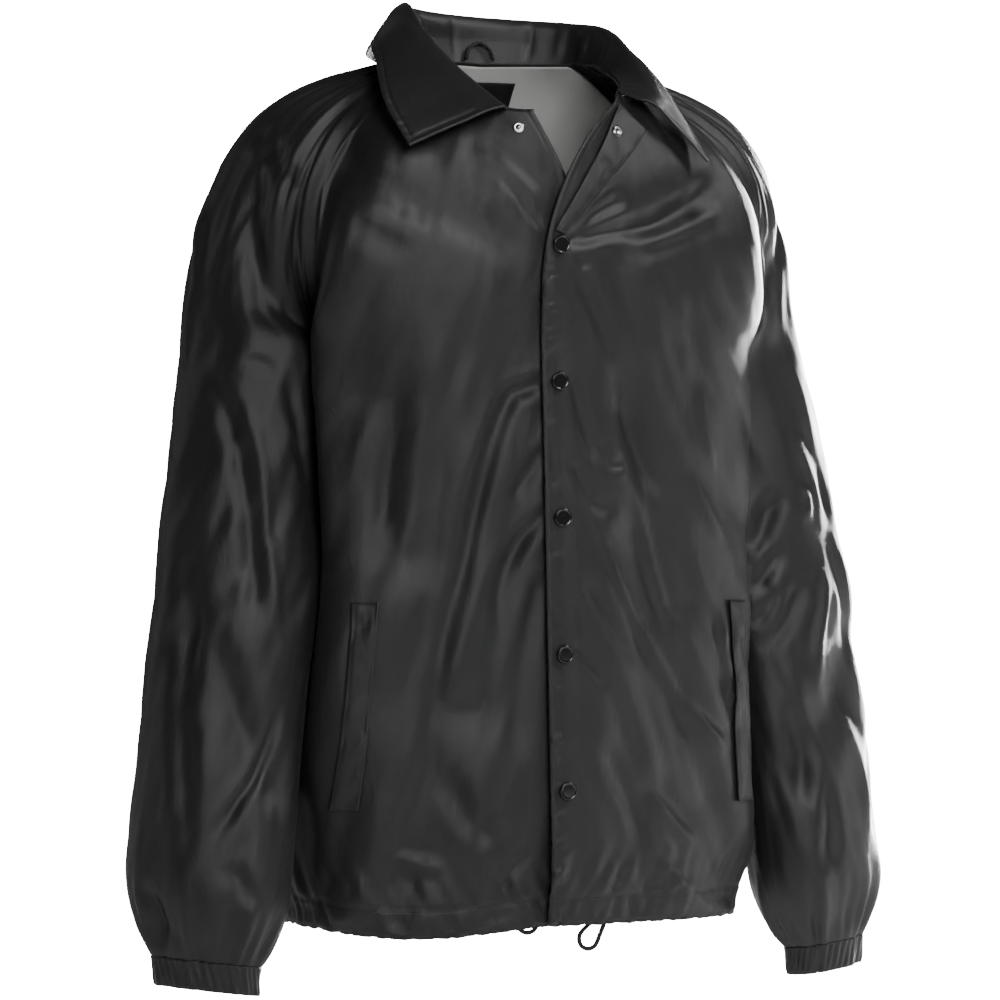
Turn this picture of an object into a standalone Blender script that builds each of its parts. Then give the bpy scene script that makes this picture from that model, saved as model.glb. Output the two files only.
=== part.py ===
"""Coach-style snap-front jacket in its worn, hollow form: raglan sleeves, shirt collar, welt pockets,
elastic cuffs and a drawcord hem. Every cloth piece is a thin wall of its own, in metres, +Z up.

The front faces -Y and the wearer's left is +X. The origin is inside the neck, level with the back neck
seam, where the wearer's neck and shoulders carry the jacket. Tables of points give one side of the
jacket with x counted outwards from the centre front, and the other side is their mirror image.
"""

import math
from collections import namedtuple

import bmesh
import bpy
import numpy as np
from mathutils import Vector
from mathutils.bvhtree import BVHTree

# Driving dimensions
CLOTH = 0.0010
COLLAR_CLOTH = 0.0018
LINING_CLOTH = 0.0010
SEAM_GAP = 0.0011
LAY_GAP = 0.0007
SOCKET_GAP = 0.0013
PANEL_CLEARANCE = 0.0030
CLEARED_WITHIN = 0.012
NECK_LINING_GAP = 0.0005
LINING_DEPTH = 0.0100
LINING_INSET = 0.004
COLLAR_LIFT = 0.0020
UNDERARM_Z = -0.250
HEM_Z = -0.742
CUFF_TOP_Z = -0.774
CUFF_GAP = 0.0005
SLEEVE_CLEARANCE = 0.005
CLEARANCE_GROWS_OVER = 0.050
CORNER_SOFTNESS = 0.006
LAP_RISE = 0.0055
LAP_FADES_FROM = 0.020
LAP_FADES_OVER = 0.050
LAP_STARTS_OVER = 0.050
HEM_SAG = 0.010
SNAP_FROM_EDGE = 0.0135
SNAP_TOP_Z = -0.166
SNAP_PITCH = 0.116
SNAPS_CLOSED = 5
WELT_CLOTH = 0.0016
WELT_LIFT = 0.0014
CORD_RADIUS = 0.0020
CORD_STEPS = 3
CUFF_PLEATS = 10
CUFF_PLEAT_DEPTH = 0.0016
GATHER_DEPTH = 0.0045
GATHER_REACH = 0.060
HEM_DRAW = 0.010
HEM_DRAW_REACH = 0.030

# Grid sizes of the cloth walls
FRONT_COLUMNS = 13
BACK_HALF_COLUMNS = 9
SLEEVE_COLUMNS = 21
UPPER_ROWS = 9
BODY_LOWER_ROWS = 10
SLEEVE_LOWER_ROWS = 11
COLLAR_COLUMNS = 25
FACING_COLUMNS = 3
CUFF_ROWS = 3
WELT_GRID = (4, 9)
LAPEL_GRID = (5, 10)
LABEL_GRID = (7, 4)
SECTION_STEPS = 181
CAP_CLOSING = 4.0
RELAX_ROUNDS = 8
CAP_RELAX_ROUNDS = 2
BORDER_STEPS = 2
LINING_SINKS_OVER_ROWS = 4
SIDE_FREE_TO = 0.45
SIDE_HELD_FROM = 0.80
HELD_ROWS_ABOVE = 4

# Body sections below the underarm, from the front and back depth and the half width at each height
Ring = namedtuple("Ring", "z centre_y half_width front back squareness")
BODY_RINGS = [
    Ring(-0.250, 0.033, 0.230, 0.153, 0.132, 2.8),
    Ring(-0.340, 0.031, 0.229, 0.153, 0.130, 2.8),
    Ring(-0.460, 0.027, 0.226, 0.151, 0.128, 2.8),
    Ring(-0.580, 0.022, 0.224, 0.148, 0.130, 2.7),
    Ring(-0.680, 0.018, 0.222, 0.145, 0.133, 2.6),
    Ring(-0.742, 0.015, 0.218, 0.141, 0.134, 2.5),
]

# Sleeve sections from the underarm to the cuff: centre, half width and half depth, how far the section is
# turned about the arm (degrees) and how much it rises outwards
Loop = namedtuple("Loop", "z centre_x centre_y half_width half_depth turn rise")
SLEEVE_LOOPS = [
    Loop(-0.250, 0.2275, 0.031, 0.0640, 0.0720, 0.0, 0.00),
    Loop(-0.330, 0.2370, 0.022, 0.0660, 0.0680, 10.0, 0.02),
    Loop(-0.440, 0.2535, 0.004, 0.0690, 0.0600, 22.0, 0.04),
    Loop(-0.540, 0.2695, -0.006, 0.0700, 0.0560, 28.0, 0.06),
    Loop(-0.620, 0.2805, -0.013, 0.0700, 0.0540, 30.0, 0.08),
    Loop(-0.690, 0.2870, -0.018, 0.0685, 0.0520, 30.0, 0.10),
    Loop(-0.730, 0.2915, -0.021, 0.0650, 0.0490, 30.0, 0.12),
    Loop(-0.757, 0.2950, -0.023, 0.0560, 0.0400, 30.0, 0.12),
    Loop(-0.774, 0.2955, -0.025, 0.0465, 0.0300, 30.0, 0.12),
    Loop(-0.797, 0.2955, -0.026, 0.0445, 0.0280, 30.0, 0.12),
]

# Seams of one side, each a smooth curve through its points
FRONT_SEAM = [
    (0.086, -0.020, -0.008),
    (0.141, -0.032, -0.032),
    (0.182, -0.050, -0.061),
    (0.210, -0.058, -0.104),
    (0.217, -0.052, -0.145),
    (0.207, -0.032, -0.192),
    (0.184, 0.004, -0.232),
    (0.1635, 0.031, -0.250),
]
BACK_SEAM = [
    (0.075, 0.038, 0.001),
    (0.130, 0.068, -0.024),
    (0.172, 0.096, -0.058),
    (0.201, 0.115, -0.105),
    (0.211, 0.117, -0.150),
    (0.203, 0.097, -0.198),
    (0.183, 0.062, -0.235),
    (0.1635, 0.031, -0.250),
]
SHOULDER_RIDGE = [
    (0.0875, 0.010, 0.000),
    (0.140, 0.020, -0.014),
    (0.188, 0.028, -0.028),
    (0.217, 0.031, -0.045),
    (0.238, 0.032, -0.070),
    (0.261, 0.032, -0.120),
    (0.278, 0.031, -0.178),
    (0.2915, 0.031, -0.250),
]
SHOULDER_NECK = [(0.086, -0.020, -0.008), (0.0875, 0.010, 0.000), (0.075, 0.038, 0.001)]
BACK_NECK = [(0.0, 0.062, 0.000), (0.040, 0.056, 0.001), (0.075, 0.038, 0.001)]
RIGHT_NECK = [
    (0.034, -0.1145, -0.0535),
    (0.053, -0.106, -0.0515),
    (0.070, -0.074, -0.027),
    (0.086, -0.020, -0.008),
]
LEFT_NECK = [(0.053, -0.102, -0.039), (0.072, -0.074, -0.027), (0.086, -0.020, -0.008)]
CENTRE_BACK = [(0.0, 0.062, 0.000), (0.0, 0.092, -0.035), (0.0, 0.125, -0.090), (0.0, 0.150, -0.160)]

# Front edges: the right one lies open at the top, the left one is rolled back above its second snap.
# Below the underarm each edge runs straight down, from its chest place to its hem place (x).
RIGHT_EDGE = [(0.034, -0.1145, -0.0535), (0.008, -0.121, -0.105), (-0.006, -0.124, -0.165)]
LEFT_EDGE = [
    (0.053, -0.102, -0.039),
    (0.018, -0.117, -0.072),
    (-0.012, -0.123, -0.125),
    (-0.024, -0.124, -0.165),
]
Straight = namedtuple("Straight", "chest_x hem_x")
RIGHT_STRAIGHT = Straight(-0.008, -0.010)
LEFT_STRAIGHT = Straight(-0.0265, -0.0200)

# Rolled-back lapel of the left front: corners on the front, as x and z
LAPEL_ROLL_TOP = (0.0535, -0.043)
LAPEL_ROLL_FOOT = (-0.0195, -0.154)
LAPEL_EDGE_TOP = (0.080, -0.066)
LAPEL_EDGE_FOOT = (-0.010, -0.157)
LAPEL_LIFT = 0.0022

# Collar stations, from the front end to the centre back, on each side
Station = namedtuple("Station", "base roll edge")
RIGHT_COLLAR = [
    Station((0.053, -0.1075, -0.0510), (0.056, -0.1140, -0.0470), (0.146, -0.1120, -0.085)),
    Station((0.070, -0.0740, -0.0265), (0.081, -0.0720, -0.0110), (0.155, -0.0850, -0.050)),
    Station((0.086, -0.0200, -0.0075), (0.094, -0.0280, 0.0220), (0.143, -0.0330, -0.006)),
    Station((0.0875, 0.0100, 0.0005), (0.090, 0.0100, 0.0460), (0.122, 0.0220, 0.012)),
    Station((0.075, 0.0380, 0.0015), (0.079, 0.0430, 0.0470), (0.105, 0.0680, 0.003)),
    Station((0.040, 0.0560, 0.0015), (0.041, 0.0620, 0.0440), (0.056, 0.0960, -0.006)),
    Station((0.000, 0.0620, 0.0005), (0.000, 0.0690, 0.0420), (0.000, 0.1040, -0.010)),
]
LEFT_COLLAR = [
    Station((0.060, -0.0950, -0.0330), (0.075, -0.1080, -0.0400), (0.133, -0.1180, -0.092)),
    Station((0.074, -0.0700, -0.0255), (0.094, -0.0720, -0.0230), (0.128, -0.0900, -0.060)),
    Station((0.086, -0.0200, -0.0075), (0.097, -0.0260, 0.0100), (0.124, -0.0330, -0.016)),
    Station((0.0875, 0.0100, 0.0005), (0.093, 0.0100, 0.0310), (0.120, 0.0200, 0.004)),
    Station((0.075, 0.0380, 0.0015), (0.079, 0.0430, 0.0370), (0.105, 0.0680, 0.000)),
    Station((0.040, 0.0560, 0.0015), (0.041, 0.0620, 0.0400), (0.056, 0.0960, -0.006)),
    Station((0.000, 0.0620, 0.0005), (0.000, 0.0690, 0.0420), (0.000, 0.1040, -0.010)),
]
ROLL_RADIUS = 0.0030

# Largest folds: straight soft troughs (negative depth) and ridges, from one point to another.
# Body folds are placed by x and z, sleeve folds by turn in degrees from the underarm and z.
Fold = namedtuple("Fold", "across_0 z_0 across_1 z_1 half_width depth")
RIGHT_FRONT_FOLDS = [
    Fold(0.175, -0.110, 0.060, -0.165, 0.022, -0.006),
    Fold(0.160, -0.300, 0.150, -0.430, 0.022, -0.007),
    Fold(0.010, -0.290, 0.085, -0.560, 0.022, -0.007),
    Fold(0.105, -0.560, 0.150, -0.700, 0.024, -0.007),
]
LEFT_FRONT_FOLDS = [
    Fold(0.020, -0.170, 0.130, -0.125, 0.022, -0.006),
    Fold(0.040, -0.290, 0.110, -0.470, 0.022, -0.006),
    Fold(0.050, -0.420, 0.140, -0.640, 0.024, -0.007),
    Fold(0.090, -0.640, 0.150, -0.715, 0.022, -0.006),
]
BACK_FOLDS = [
    Fold(0.170, -0.230, 0.110, -0.420, 0.030, -0.007),
    Fold(0.060, -0.300, 0.080, -0.600, 0.034, -0.007),
    Fold(0.150, -0.450, 0.130, -0.690, 0.026, 0.006),
]
SLEEVE_FOLDS = [
    Fold(110.0, -0.130, 60.0, -0.230, 0.020, -0.008),
    Fold(120.0, -0.500, 40.0, -0.620, 0.022, -0.007),
    Fold(160.0, -0.300, 140.0, -0.480, 0.024, 0.005),
    Fold(250.0, -0.420, 300.0, -0.560, 0.024, -0.007),
]

# Pieces on the panels, placed by x and z
WELT_TOP = (0.176, -0.470)
WELT_FOOT = (0.188, -0.645)
WELT_SPREAD_X = 0.020
LABEL_WIDTH = 0.074
LABEL_TOP_Z = -0.014
LABEL_HEIGHT = 0.046
HANGER_RADIUS = 0.0018
HANGER_LOOP = [
    (-0.0150, 0.0582, 0.0050),
    (-0.0120, 0.0595, 0.0130),
    (-0.0020, 0.0615, 0.0190),
    (0.0080, 0.0595, 0.0130),
    (0.0110, 0.0582, 0.0050),
]

# Snap parts as radius, height and rim, and the places of the open top snap's two halves
SNAP_SEGMENTS = 20
CAP_SIZE = (0.0080, 0.0028, 0.0011)
SOCKET_SIZE = (0.0055, 0.0016, 0.0005)
STUD_SIZE = (0.0050, 0.0030, 0.0012)
SOCKET_AT = (0.0470, -0.0680)
STUD_AT = (-0.0450, -0.0670)

# Drawcord loops that hang out below the hem: the middle of their two ends, how far apart these are, how far
# below them the bend's centre lies, the bend's radius, and the degrees they swing towards the front edge
CordLoop = namedtuple("CordLoop", "x z spread reach bend lean")
LEFT_CORD = CordLoop(0.0355, -0.7330, 0.0050, 0.0295, 0.0088, 36.0)
RIGHT_CORD = CordLoop(0.0375, -0.7330, 0.0206, 0.0080, 0.0095, 0.0)
CORD_LEVEL_Z = HEM_Z + 0.003
CORD_GAP = 0.0009
STRAND_POINTS = 4
BEND_POINTS = 11

# Colours and roughness of the finishes
Finish = namedtuple("Finish", "name colour roughness metallic")
NYLON = Finish("nylon_shell", (0.035, 0.035, 0.036), 0.42, 0.0)
LINING = Finish("lining_knit", (0.62, 0.62, 0.61), 0.85, 0.0)
LABEL = Finish("label_weave", (0.012, 0.012, 0.012), 0.70, 0.0)
CAP = Finish("snap_enamel", (0.020, 0.020, 0.021), 0.22, 0.0)
METAL = Finish("snap_nickel", (0.70, 0.70, 0.69), 0.25, 1.0)
CORD = Finish("drawcord_braid", (0.015, 0.015, 0.015), 0.65, 0.0)


def smooth_curve(points, t):
    """Positions at fractions t of a smooth curve through the points, counted by their spacing."""
    knots_at = np.asarray(points, float)
    spans = np.linalg.norm(np.diff(knots_at, axis=0), axis=1)
    knots = np.concatenate([[0.0], np.cumsum(spans)]) / spans.sum()
    return hermite(knots, knots_at, np.atleast_1d(t))


def hermite(knots, values, t):
    """Cubic interpolation of rows of values given at rising knots."""
    slopes = np.gradient(values, knots, axis=0)
    first = np.clip(np.searchsorted(knots, t, side="right") - 1, 0, len(knots) - 2)
    width = (knots[first + 1] - knots[first])[:, None]
    part = (t - knots[first])[:, None] / width
    start = values[first] * (1 + 2 * part) * (1 - part) ** 2
    end = values[first + 1] * part**2 * (3 - 2 * part)
    start_slope = slopes[first] * width * part * (1 - part) ** 2
    end_slope = slopes[first + 1] * width * part**2 * (part - 1)
    return start + end + start_slope + end_slope


def row_at(table, z):
    """The row of a table of sections, interpolated to the height z."""
    values = np.array(table)[::-1]
    return type(table[0])(*hermite(values[:, 0], values, np.array([z]))[0])


def ease(x):
    """Smooth step from 0 to 1."""
    x = np.clip(x, 0.0, 1.0)
    return x * x * (3 - 2 * x)


def soft_min(a, b):
    """The smaller of two lengths, rounded where they cross."""
    low, high = np.minimum(a, b), np.maximum(a, b)
    return low - CORNER_SOFTNESS * np.log1p(np.exp((low - high) / CORNER_SOFTNESS))


def sleeve_inner(z, y):
    """How far out the inner side of the sleeve lies at height z and depth y."""
    loop = row_at(SLEEVE_LOOPS, z)
    cos, sin = math.cos(math.radians(loop.turn)), math.sin(math.radians(loop.turn))
    wide, deep = loop.half_width**-2, loop.half_depth**-2
    off = y - loop.centre_y
    square = cos**2 * wide + sin**2 * deep
    linear = off * cos * sin * (wide - deep)
    constant = off**2 * (sin**2 * wide + cos**2 * deep) - 1
    return loop.centre_x - (linear + np.sqrt(np.maximum(linear**2 - square * constant, 0.0))) / square


class BodySection:
    """Half of a level section of the body, from the centre front round the side to the centre back."""

    def __init__(self, z):
        ring = row_at(BODY_RINGS, z)
        turn = np.linspace(0.0, math.pi, SECTION_STEPS)
        power = 2.0 / ring.squareness
        forward = np.sign(np.cos(turn)) * np.abs(np.cos(turn)) ** power
        y = ring.centre_y - np.where(forward > 0, ring.front, ring.back) * forward
        drop = max(UNDERARM_Z - z, 0.0)
        gap = SEAM_GAP / 2 + SLEEVE_CLEARANCE * (1 - math.exp(-drop / CLEARANCE_GROWS_OVER))
        x = soft_min(ring.half_width * np.abs(np.sin(turn)) ** power, sleeve_inner(z, y) - gap)
        drawn = HEM_DRAW * ease((HEM_Z + HEM_DRAW_REACH - z) / HEM_DRAW_REACH)
        scale = 1 - drawn / ring.half_width
        self.z = z
        self.points = np.stack([x * scale, ring.centre_y + (y - ring.centre_y) * scale], axis=1)
        self.points[[0, -1], 0] = 0.0
        steps = np.linalg.norm(np.diff(self.points, axis=0), axis=1)
        self.along = np.concatenate([[0.0], np.cumsum(steps)])
        self.front_length = self.along[SECTION_STEPS // 2]
        self.back_length = self.along[-1] - self.front_length

    def at(self, along):
        """Points at lengths measured from the centre front; a negative length lies across it."""
        x = np.interp(np.abs(along), self.along, self.points[:, 0]) * np.where(along < 0, -1.0, 1.0)
        y = np.interp(np.abs(along), self.along, self.points[:, 1])
        return np.stack([x, y, np.full(len(x), self.z)], axis=1)

    def front(self, edge_x, u):
        """Points from the front edge (u = 0) to the side seam (u = 1)."""
        return self.at(edge_x + (self.front_length - edge_x) * u)

    def back(self, u):
        """Points from the centre back (u = 0) to the side seam (u = 1)."""
        return self.at(self.front_length + self.back_length * (1 - u))


def sleeve_loop(z, u):
    """Points round the sleeve at height z: u = 0 at the underarm, 0.25 in front, 0.5 outside."""
    loop = row_at(SLEEVE_LOOPS, z)
    angle = 2 * math.pi * u
    wide, deep = -loop.half_width * np.cos(angle), -loop.half_depth * np.sin(angle)
    cos, sin = math.cos(math.radians(loop.turn)), math.sin(math.radians(loop.turn))
    x = cos * wide - sin * deep
    y = sin * wide + cos * deep
    return np.stack([loop.centre_x + x, loop.centre_y + y, z + loop.rise * x], axis=1)


def coons(u, top, foot, near, far):
    """A grid of points that spans four border curves: top and foot are rows, near and far are columns."""
    u = u[None, :, None]
    v = np.linspace(0, 1, len(near))[:, None, None]
    rows = (1 - v) * top[None] + v * foot[None]
    columns = (1 - u) * near[:, None] + u * far[:, None]
    corners = (1 - v) * ((1 - u) * top[0] + u * top[-1]) + v * ((1 - u) * foot[0] + u * foot[-1])
    return rows + columns - corners


def relax(grid, rounds, share):
    """Evens out the inside of a grid, each point by its share of the step, with its border kept."""
    grid = grid.copy()
    part = np.broadcast_to(share, grid.shape[:2])[1:-1, 1:-1, None] / 2
    for _ in range(rounds):
        mean = (grid[:-2, 1:-1] + grid[2:, 1:-1] + grid[1:-1, :-2] + grid[1:-1, 2:]) / 4
        grid[1:-1, 1:-1] += part * (mean - grid[1:-1, 1:-1])
    return grid


def unit(vectors):
    """The vectors brought to length 1."""
    return vectors / np.maximum(np.linalg.norm(vectors, axis=-1, keepdims=True), 1e-9)


def normals_of(grid):
    """Unit normals of a grid, along the cross product of its columns and rows."""
    return unit(np.cross(np.gradient(grid, axis=1), np.gradient(grid, axis=0)))


def fold_heights(across, z, folds):
    """Sum of the soft troughs and ridges at places given by an across measure and z, both in metres."""
    height = np.zeros_like(z)
    for fold in folds:
        run = np.array([fold.across_1 - fold.across_0, fold.z_1 - fold.z_0])
        part = ((across - fold.across_0) * run[0] + (z - fold.z_0) * run[1]) / (run @ run)
        part = np.clip(part, 0.0, 1.0)
        off = np.hypot(across - fold.across_0 - part * run[0], z - fold.z_0 - part * run[1])
        height += fold.depth * np.exp(-((off / fold.half_width) ** 2))
    return height


def keep_border(grid):
    """1 inside a grid, falling to 0 on its border, so that seams stay where they are."""
    rows, columns = grid.shape[:2]
    down = np.minimum(np.arange(rows), np.arange(rows)[::-1])[:, None]
    over = np.minimum(np.arange(columns), np.arange(columns)[::-1])[None, :]
    return ease(np.minimum(down, over) / BORDER_STEPS)


def moved_out(grid, heights):
    """The grid moved along its outward normals by the given heights."""
    return grid + normals_of(grid) * heights[..., None]


def drawn_in(grid, amount=SEAM_GAP / 2):
    """The grid with each border moved in from its seam, so that neighbours stay apart."""
    grid = grid.copy()
    for axis in (0, 1):
        lines = np.moveaxis(grid, axis, 0)
        for border, inner in ((0, 1), (-1, -2)):
            along = unit(np.gradient(lines[border], axis=0))
            step = lines[inner] - lines[border]
            step -= along * np.sum(step * along, axis=1, keepdims=True)
            lines[border] += amount * unit(step)
    return grid


def mirrored(grid):
    """The same piece on the other side of the jacket, its columns turned round to keep its outside out."""
    return grid[:, ::-1] * np.array([-1.0, 1.0, 1.0])


def column_places(columns):
    """Fractions across a body panel, closer together towards the side seam."""
    t = np.linspace(0, 1, columns)
    return (t + np.sin(math.pi / 2 * t)) / 2


def free_share(u, rows):
    """How freely points may be evened out: less towards the side, where low rows follow the sleeve."""
    beside = 1 - ease((u - SIDE_FREE_TO) / (SIDE_HELD_FROM - SIDE_FREE_TO))
    above = 1 - ease((np.arange(rows) - UPPER_ROWS + HELD_ROWS_ABOVE) / (HELD_ROWS_ABOVE - 1))
    return np.maximum(beside[None, :], above[:, None])


def straight_x(straight, z):
    """Where a front edge lies below the underarm."""
    part = (UNDERARM_Z - z) / (UNDERARM_Z - HEM_Z)
    return straight.chest_x + (straight.hem_x - straight.chest_x) * part


def front_grid(neck, edge, straight, sag):
    """One smooth front, from the raglan and side seams to its edge, with x counted outwards."""
    u = column_places(FRONT_COLUMNS)
    v = np.linspace(0, 1, UPPER_ROWS)
    chest = BodySection(UNDERARM_Z).front(straight.chest_x, u)
    edge_line = smooth_curve(edge + [tuple(chest[0])], v)
    seam_line = smooth_curve(FRONT_SEAM, v)
    upper = coons(u, smooth_curve(neck, u), chest, edge_line, seam_line)
    lower = []
    for z in np.linspace(UNDERARM_Z, HEM_Z, BODY_LOWER_ROWS):
        row = BodySection(z).front(straight_x(straight, z), u)
        row[:, 2] -= sag * (UNDERARM_Z - z) / (UNDERARM_Z - HEM_Z) * np.sin(math.pi * u) ** 2
        lower.append(row)
    grid = np.concatenate([upper[:-1], np.array(lower)])
    return relax(grid, RELAX_ROUNDS, free_share(u, len(grid)))[:, ::-1]


def front_folds(grid, folds):
    """Heights of a front's folds, which fade out towards the lap."""
    return fold_heights(grid[..., 0], grid[..., 2], folds) * keep_border(grid) * lap_fade(grid)


def lap_fade(grid):
    """0 on the lap of the front edges, rising to 1 beside it."""
    return ease((grid[..., 0] - LAP_FADES_FROM) / LAP_FADES_OVER)


def back_grid():
    """The smooth back, from the wearer's right side seam to the left one."""
    u = column_places(BACK_HALF_COLUMNS)
    v = np.linspace(0, 1, UPPER_ROWS)
    chest = BodySection(UNDERARM_Z).back(u)
    middle = smooth_curve(CENTRE_BACK + [tuple(chest[0])], v)
    upper = coons(u, smooth_curve(BACK_NECK, u), chest, middle, smooth_curve(BACK_SEAM, v))
    lower = [BodySection(z).back(u) for z in np.linspace(UNDERARM_Z, HEM_Z, BODY_LOWER_ROWS)]
    half = np.concatenate([upper[:-1], np.array(lower)])
    share = free_share(u, len(half))
    whole_share = np.concatenate([share[:, ::-1], share[:, 1:]], axis=1)
    return relax(np.concatenate([mirrored(half), half[:, 1:]], axis=1), RELAX_ROUNDS, whole_share)


def back_folds(grid):
    """Heights of the back's folds, alike on both sides."""
    return fold_heights(np.abs(grid[..., 0]), grid[..., 2], BACK_FOLDS) * keep_border(grid)


def sleeve_grid():
    """One sleeve, from the neck to the cuff; its first and last columns meet along the underarm seam."""
    u = np.linspace(0, 1, SLEEVE_COLUMNS)
    v = np.linspace(0, 1, UPPER_ROWS)
    front, back, ridge = (smooth_curve(seam, v) for seam in (FRONT_SEAM, BACK_SEAM, SHOULDER_RIDGE))
    span = coons(u, smooth_curve(SHOULDER_NECK, u), sleeve_loop(UNDERARM_Z, u), front, back)
    middle = ((front + back) / 2)[:, None]
    across = ((front - back) / 2)[:, None] * np.cos(math.pi * u)[None, :, None]
    arch = middle + across + (ridge[:, None] - middle) * np.sin(math.pi * u)[None, :, None]
    closing = (v**CAP_CLOSING)[:, None, None]
    upper = relax(arch + (span - arch) * closing, CAP_RELAX_ROUNDS, 1.0)
    lower = [sleeve_loop(z, u) for z in np.linspace(UNDERARM_Z, CUFF_TOP_Z + CUFF_GAP, SLEEVE_LOWER_ROWS)]
    return np.concatenate([upper[:-1], np.array(lower)])[:, ::-1]


def sleeve_folds(grid):
    """Heights of a sleeve's folds, and of the gathers above its cuff."""
    u = np.linspace(1, 0, SLEEVE_COLUMNS)[None, :]
    girth = 2 * math.pi * SLEEVE_LOOPS[0].half_width
    across = np.broadcast_to(u * girth, grid.shape[:2])
    folds = [
        fold._replace(across_0=fold.across_0 / 360.0 * girth, across_1=fold.across_1 / 360.0 * girth)
        for fold in SLEEVE_FOLDS
    ]
    gathered = ease((CUFF_TOP_Z + GATHER_REACH - grid[..., 2]) / GATHER_REACH)
    pleats = GATHER_DEPTH * gathered * np.cos(2 * math.pi * CUFF_PLEATS * u)
    return fold_heights(across, grid[..., 2], folds) * keep_border(grid) + pleats


def cuff_grid():
    """One elastic cuff, a short pleated tube below the sleeve."""
    u = np.linspace(1, 0, SLEEVE_COLUMNS)
    heights = np.linspace(CUFF_TOP_Z - CUFF_GAP, SLEEVE_LOOPS[-1].z, CUFF_ROWS)
    grid = np.array([sleeve_loop(z, u) for z in heights])
    pleats = CUFF_PLEAT_DEPTH * np.cos(2 * math.pi * CUFF_PLEATS * u)
    return moved_out(grid, np.broadcast_to(pleats, grid.shape[:2]))


def collar_profile(station):
    """Points across the collar at one station, from the neck seam over the roll to the outer edge."""
    base, roll, edge = (np.array(point) for point in station)
    outward = np.array([edge[0] - base[0], edge[1] - base[1], 0.0])
    outward /= np.linalg.norm(outward)
    rise = (roll - base) / np.linalg.norm(roll - base)
    base = base + COLLAR_LIFT * rise
    inner = roll - ROLL_RADIUS * rise
    top = roll + ROLL_RADIUS * outward
    fall = (edge - top) / np.linalg.norm(edge - top)
    outer = top + ROLL_RADIUS * (outward + fall)
    bulge = outward * ROLL_RADIUS / 2
    third, two_thirds = outer + (edge - outer) / 3 + bulge, outer + (edge - outer) * 2 / 3 + bulge
    return np.array([base, (base + inner) / 2, inner, top, outer, third, two_thirds, edge])


def collar_grid():
    """The collar, from its right front end round the back of the neck to its left end."""
    flip = np.array([-1.0, 1.0, 1.0])
    stations = [collar_profile(station) * flip for station in RIGHT_COLLAR]
    stations += [collar_profile(station) for station in LEFT_COLLAR[-2::-1]]
    lines = np.swapaxes(np.array(stations), 0, 1)
    t = np.linspace(0, 1, COLLAR_COLUMNS)
    return np.array([smooth_curve(line, t) for line in lines])


def lining_grid(panel, shell):
    """The lining of a smooth panel: its rows, every second one low down, moved in clear of its folds."""
    rows = np.arange(panel.shape[0])
    depth = NECK_LINING_GAP + (LINING_DEPTH - NECK_LINING_GAP) * ease(rows / LINING_SINKS_OVER_ROWS)
    inner = moved_out(panel, np.broadcast_to(-(CLOTH + depth)[:, None], panel.shape[:2]))
    inner = kept_clear(inner, surface_of(shell), outside=False, clearance=CLOTH + PANEL_CLEARANCE)
    kept = (rows <= UPPER_ROWS) | (rows % 2 == UPPER_ROWS % 2)
    return drawn_in(inner[kept & (rows < len(rows) - 1)], LINING_INSET)


def material_of(finish):
    """The material of a finish, made once."""
    material = bpy.data.materials.get(finish.name) or bpy.data.materials.new(finish.name)
    material.use_nodes = True
    shader = material.node_tree.nodes["Principled BSDF"]
    shader.inputs["Base Color"].default_value = (*finish.colour, 1.0)
    shader.inputs["Roughness"].default_value = finish.roughness
    shader.inputs["Metallic"].default_value = finish.metallic
    return material


def add_object(name, data, finish, collection):
    """A named object for a mesh or a curve, in the jacket's collection."""
    data.materials.append(material_of(finish))
    obj = bpy.data.objects.new(name, data)
    collection.objects.link(obj)
    return obj


def grid_shape(grid, tube=False):
    """A surface over a grid of points; a tube's first and last columns become one."""
    rows, columns = grid.shape[:2]
    shape = bmesh.new()
    bmesh.ops.create_grid(shape, x_segments=columns - 1, y_segments=rows - 1, size=1.0)
    for vertex, point in zip(shape.verts, grid.reshape(-1, 3)):
        vertex.co = point
    if tube:
        bmesh.ops.remove_doubles(shape, verts=shape.verts, dist=1e-6)
    bmesh.ops.triangulate(shape, faces=shape.faces, quad_method="SHORT_EDGE")
    shape.normal_update()
    return shape


def cloth_piece(name, grid, finish, collection, wall=CLOTH, tube=False, offset=-1.0):
    """A cloth wall: the grid's surface thickened away from its outside, or to both sides with offset 0."""
    mesh = bpy.data.meshes.new(name)
    shape = grid_shape(grid, tube)
    shape.to_mesh(mesh)
    shape.free()
    mesh.shade_smooth()
    obj = add_object(name, mesh, finish, collection)
    thicken = obj.modifiers.new("wall", "SOLIDIFY")
    thicken.thickness = wall
    thicken.offset = offset
    return obj


def surface_of(grid):
    """A search tree over a panel's outer surface, for what lies on it."""
    shape = grid_shape(grid)
    tree = BVHTree.FromBMesh(shape)
    shape.free()
    return tree


def kept_clear(grid, tree, outside, clearance=PANEL_CLEARANCE):
    """The grid with its inner points kept to the outside (or inside) of another piece's surface."""
    grid = grid.copy()
    side = 1.0 if outside else -1.0
    rows, columns = grid.shape[:2]
    for i, j in np.ndindex(rows - 2, columns - 2):
        place = Vector(grid[i + 1, j + 1])
        spot, normal, _, _ = tree.find_nearest(place, CLEARED_WITHIN)
        if spot:
            short = clearance - side * (place - spot).dot(normal)
            grid[i + 1, j + 1] += side * max(short, 0.0) * np.array(normal)
    return grid


def landed(tree, x, z):
    """The panel's point at x and z, met from in front, and its normal on that side."""
    spot, normal, _, _ = tree.ray_cast(Vector((x, -1.0, z)), Vector((0.0, 1.0, 0.0)))
    return spot, normal * math.copysign(1.0, -normal.y)


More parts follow.
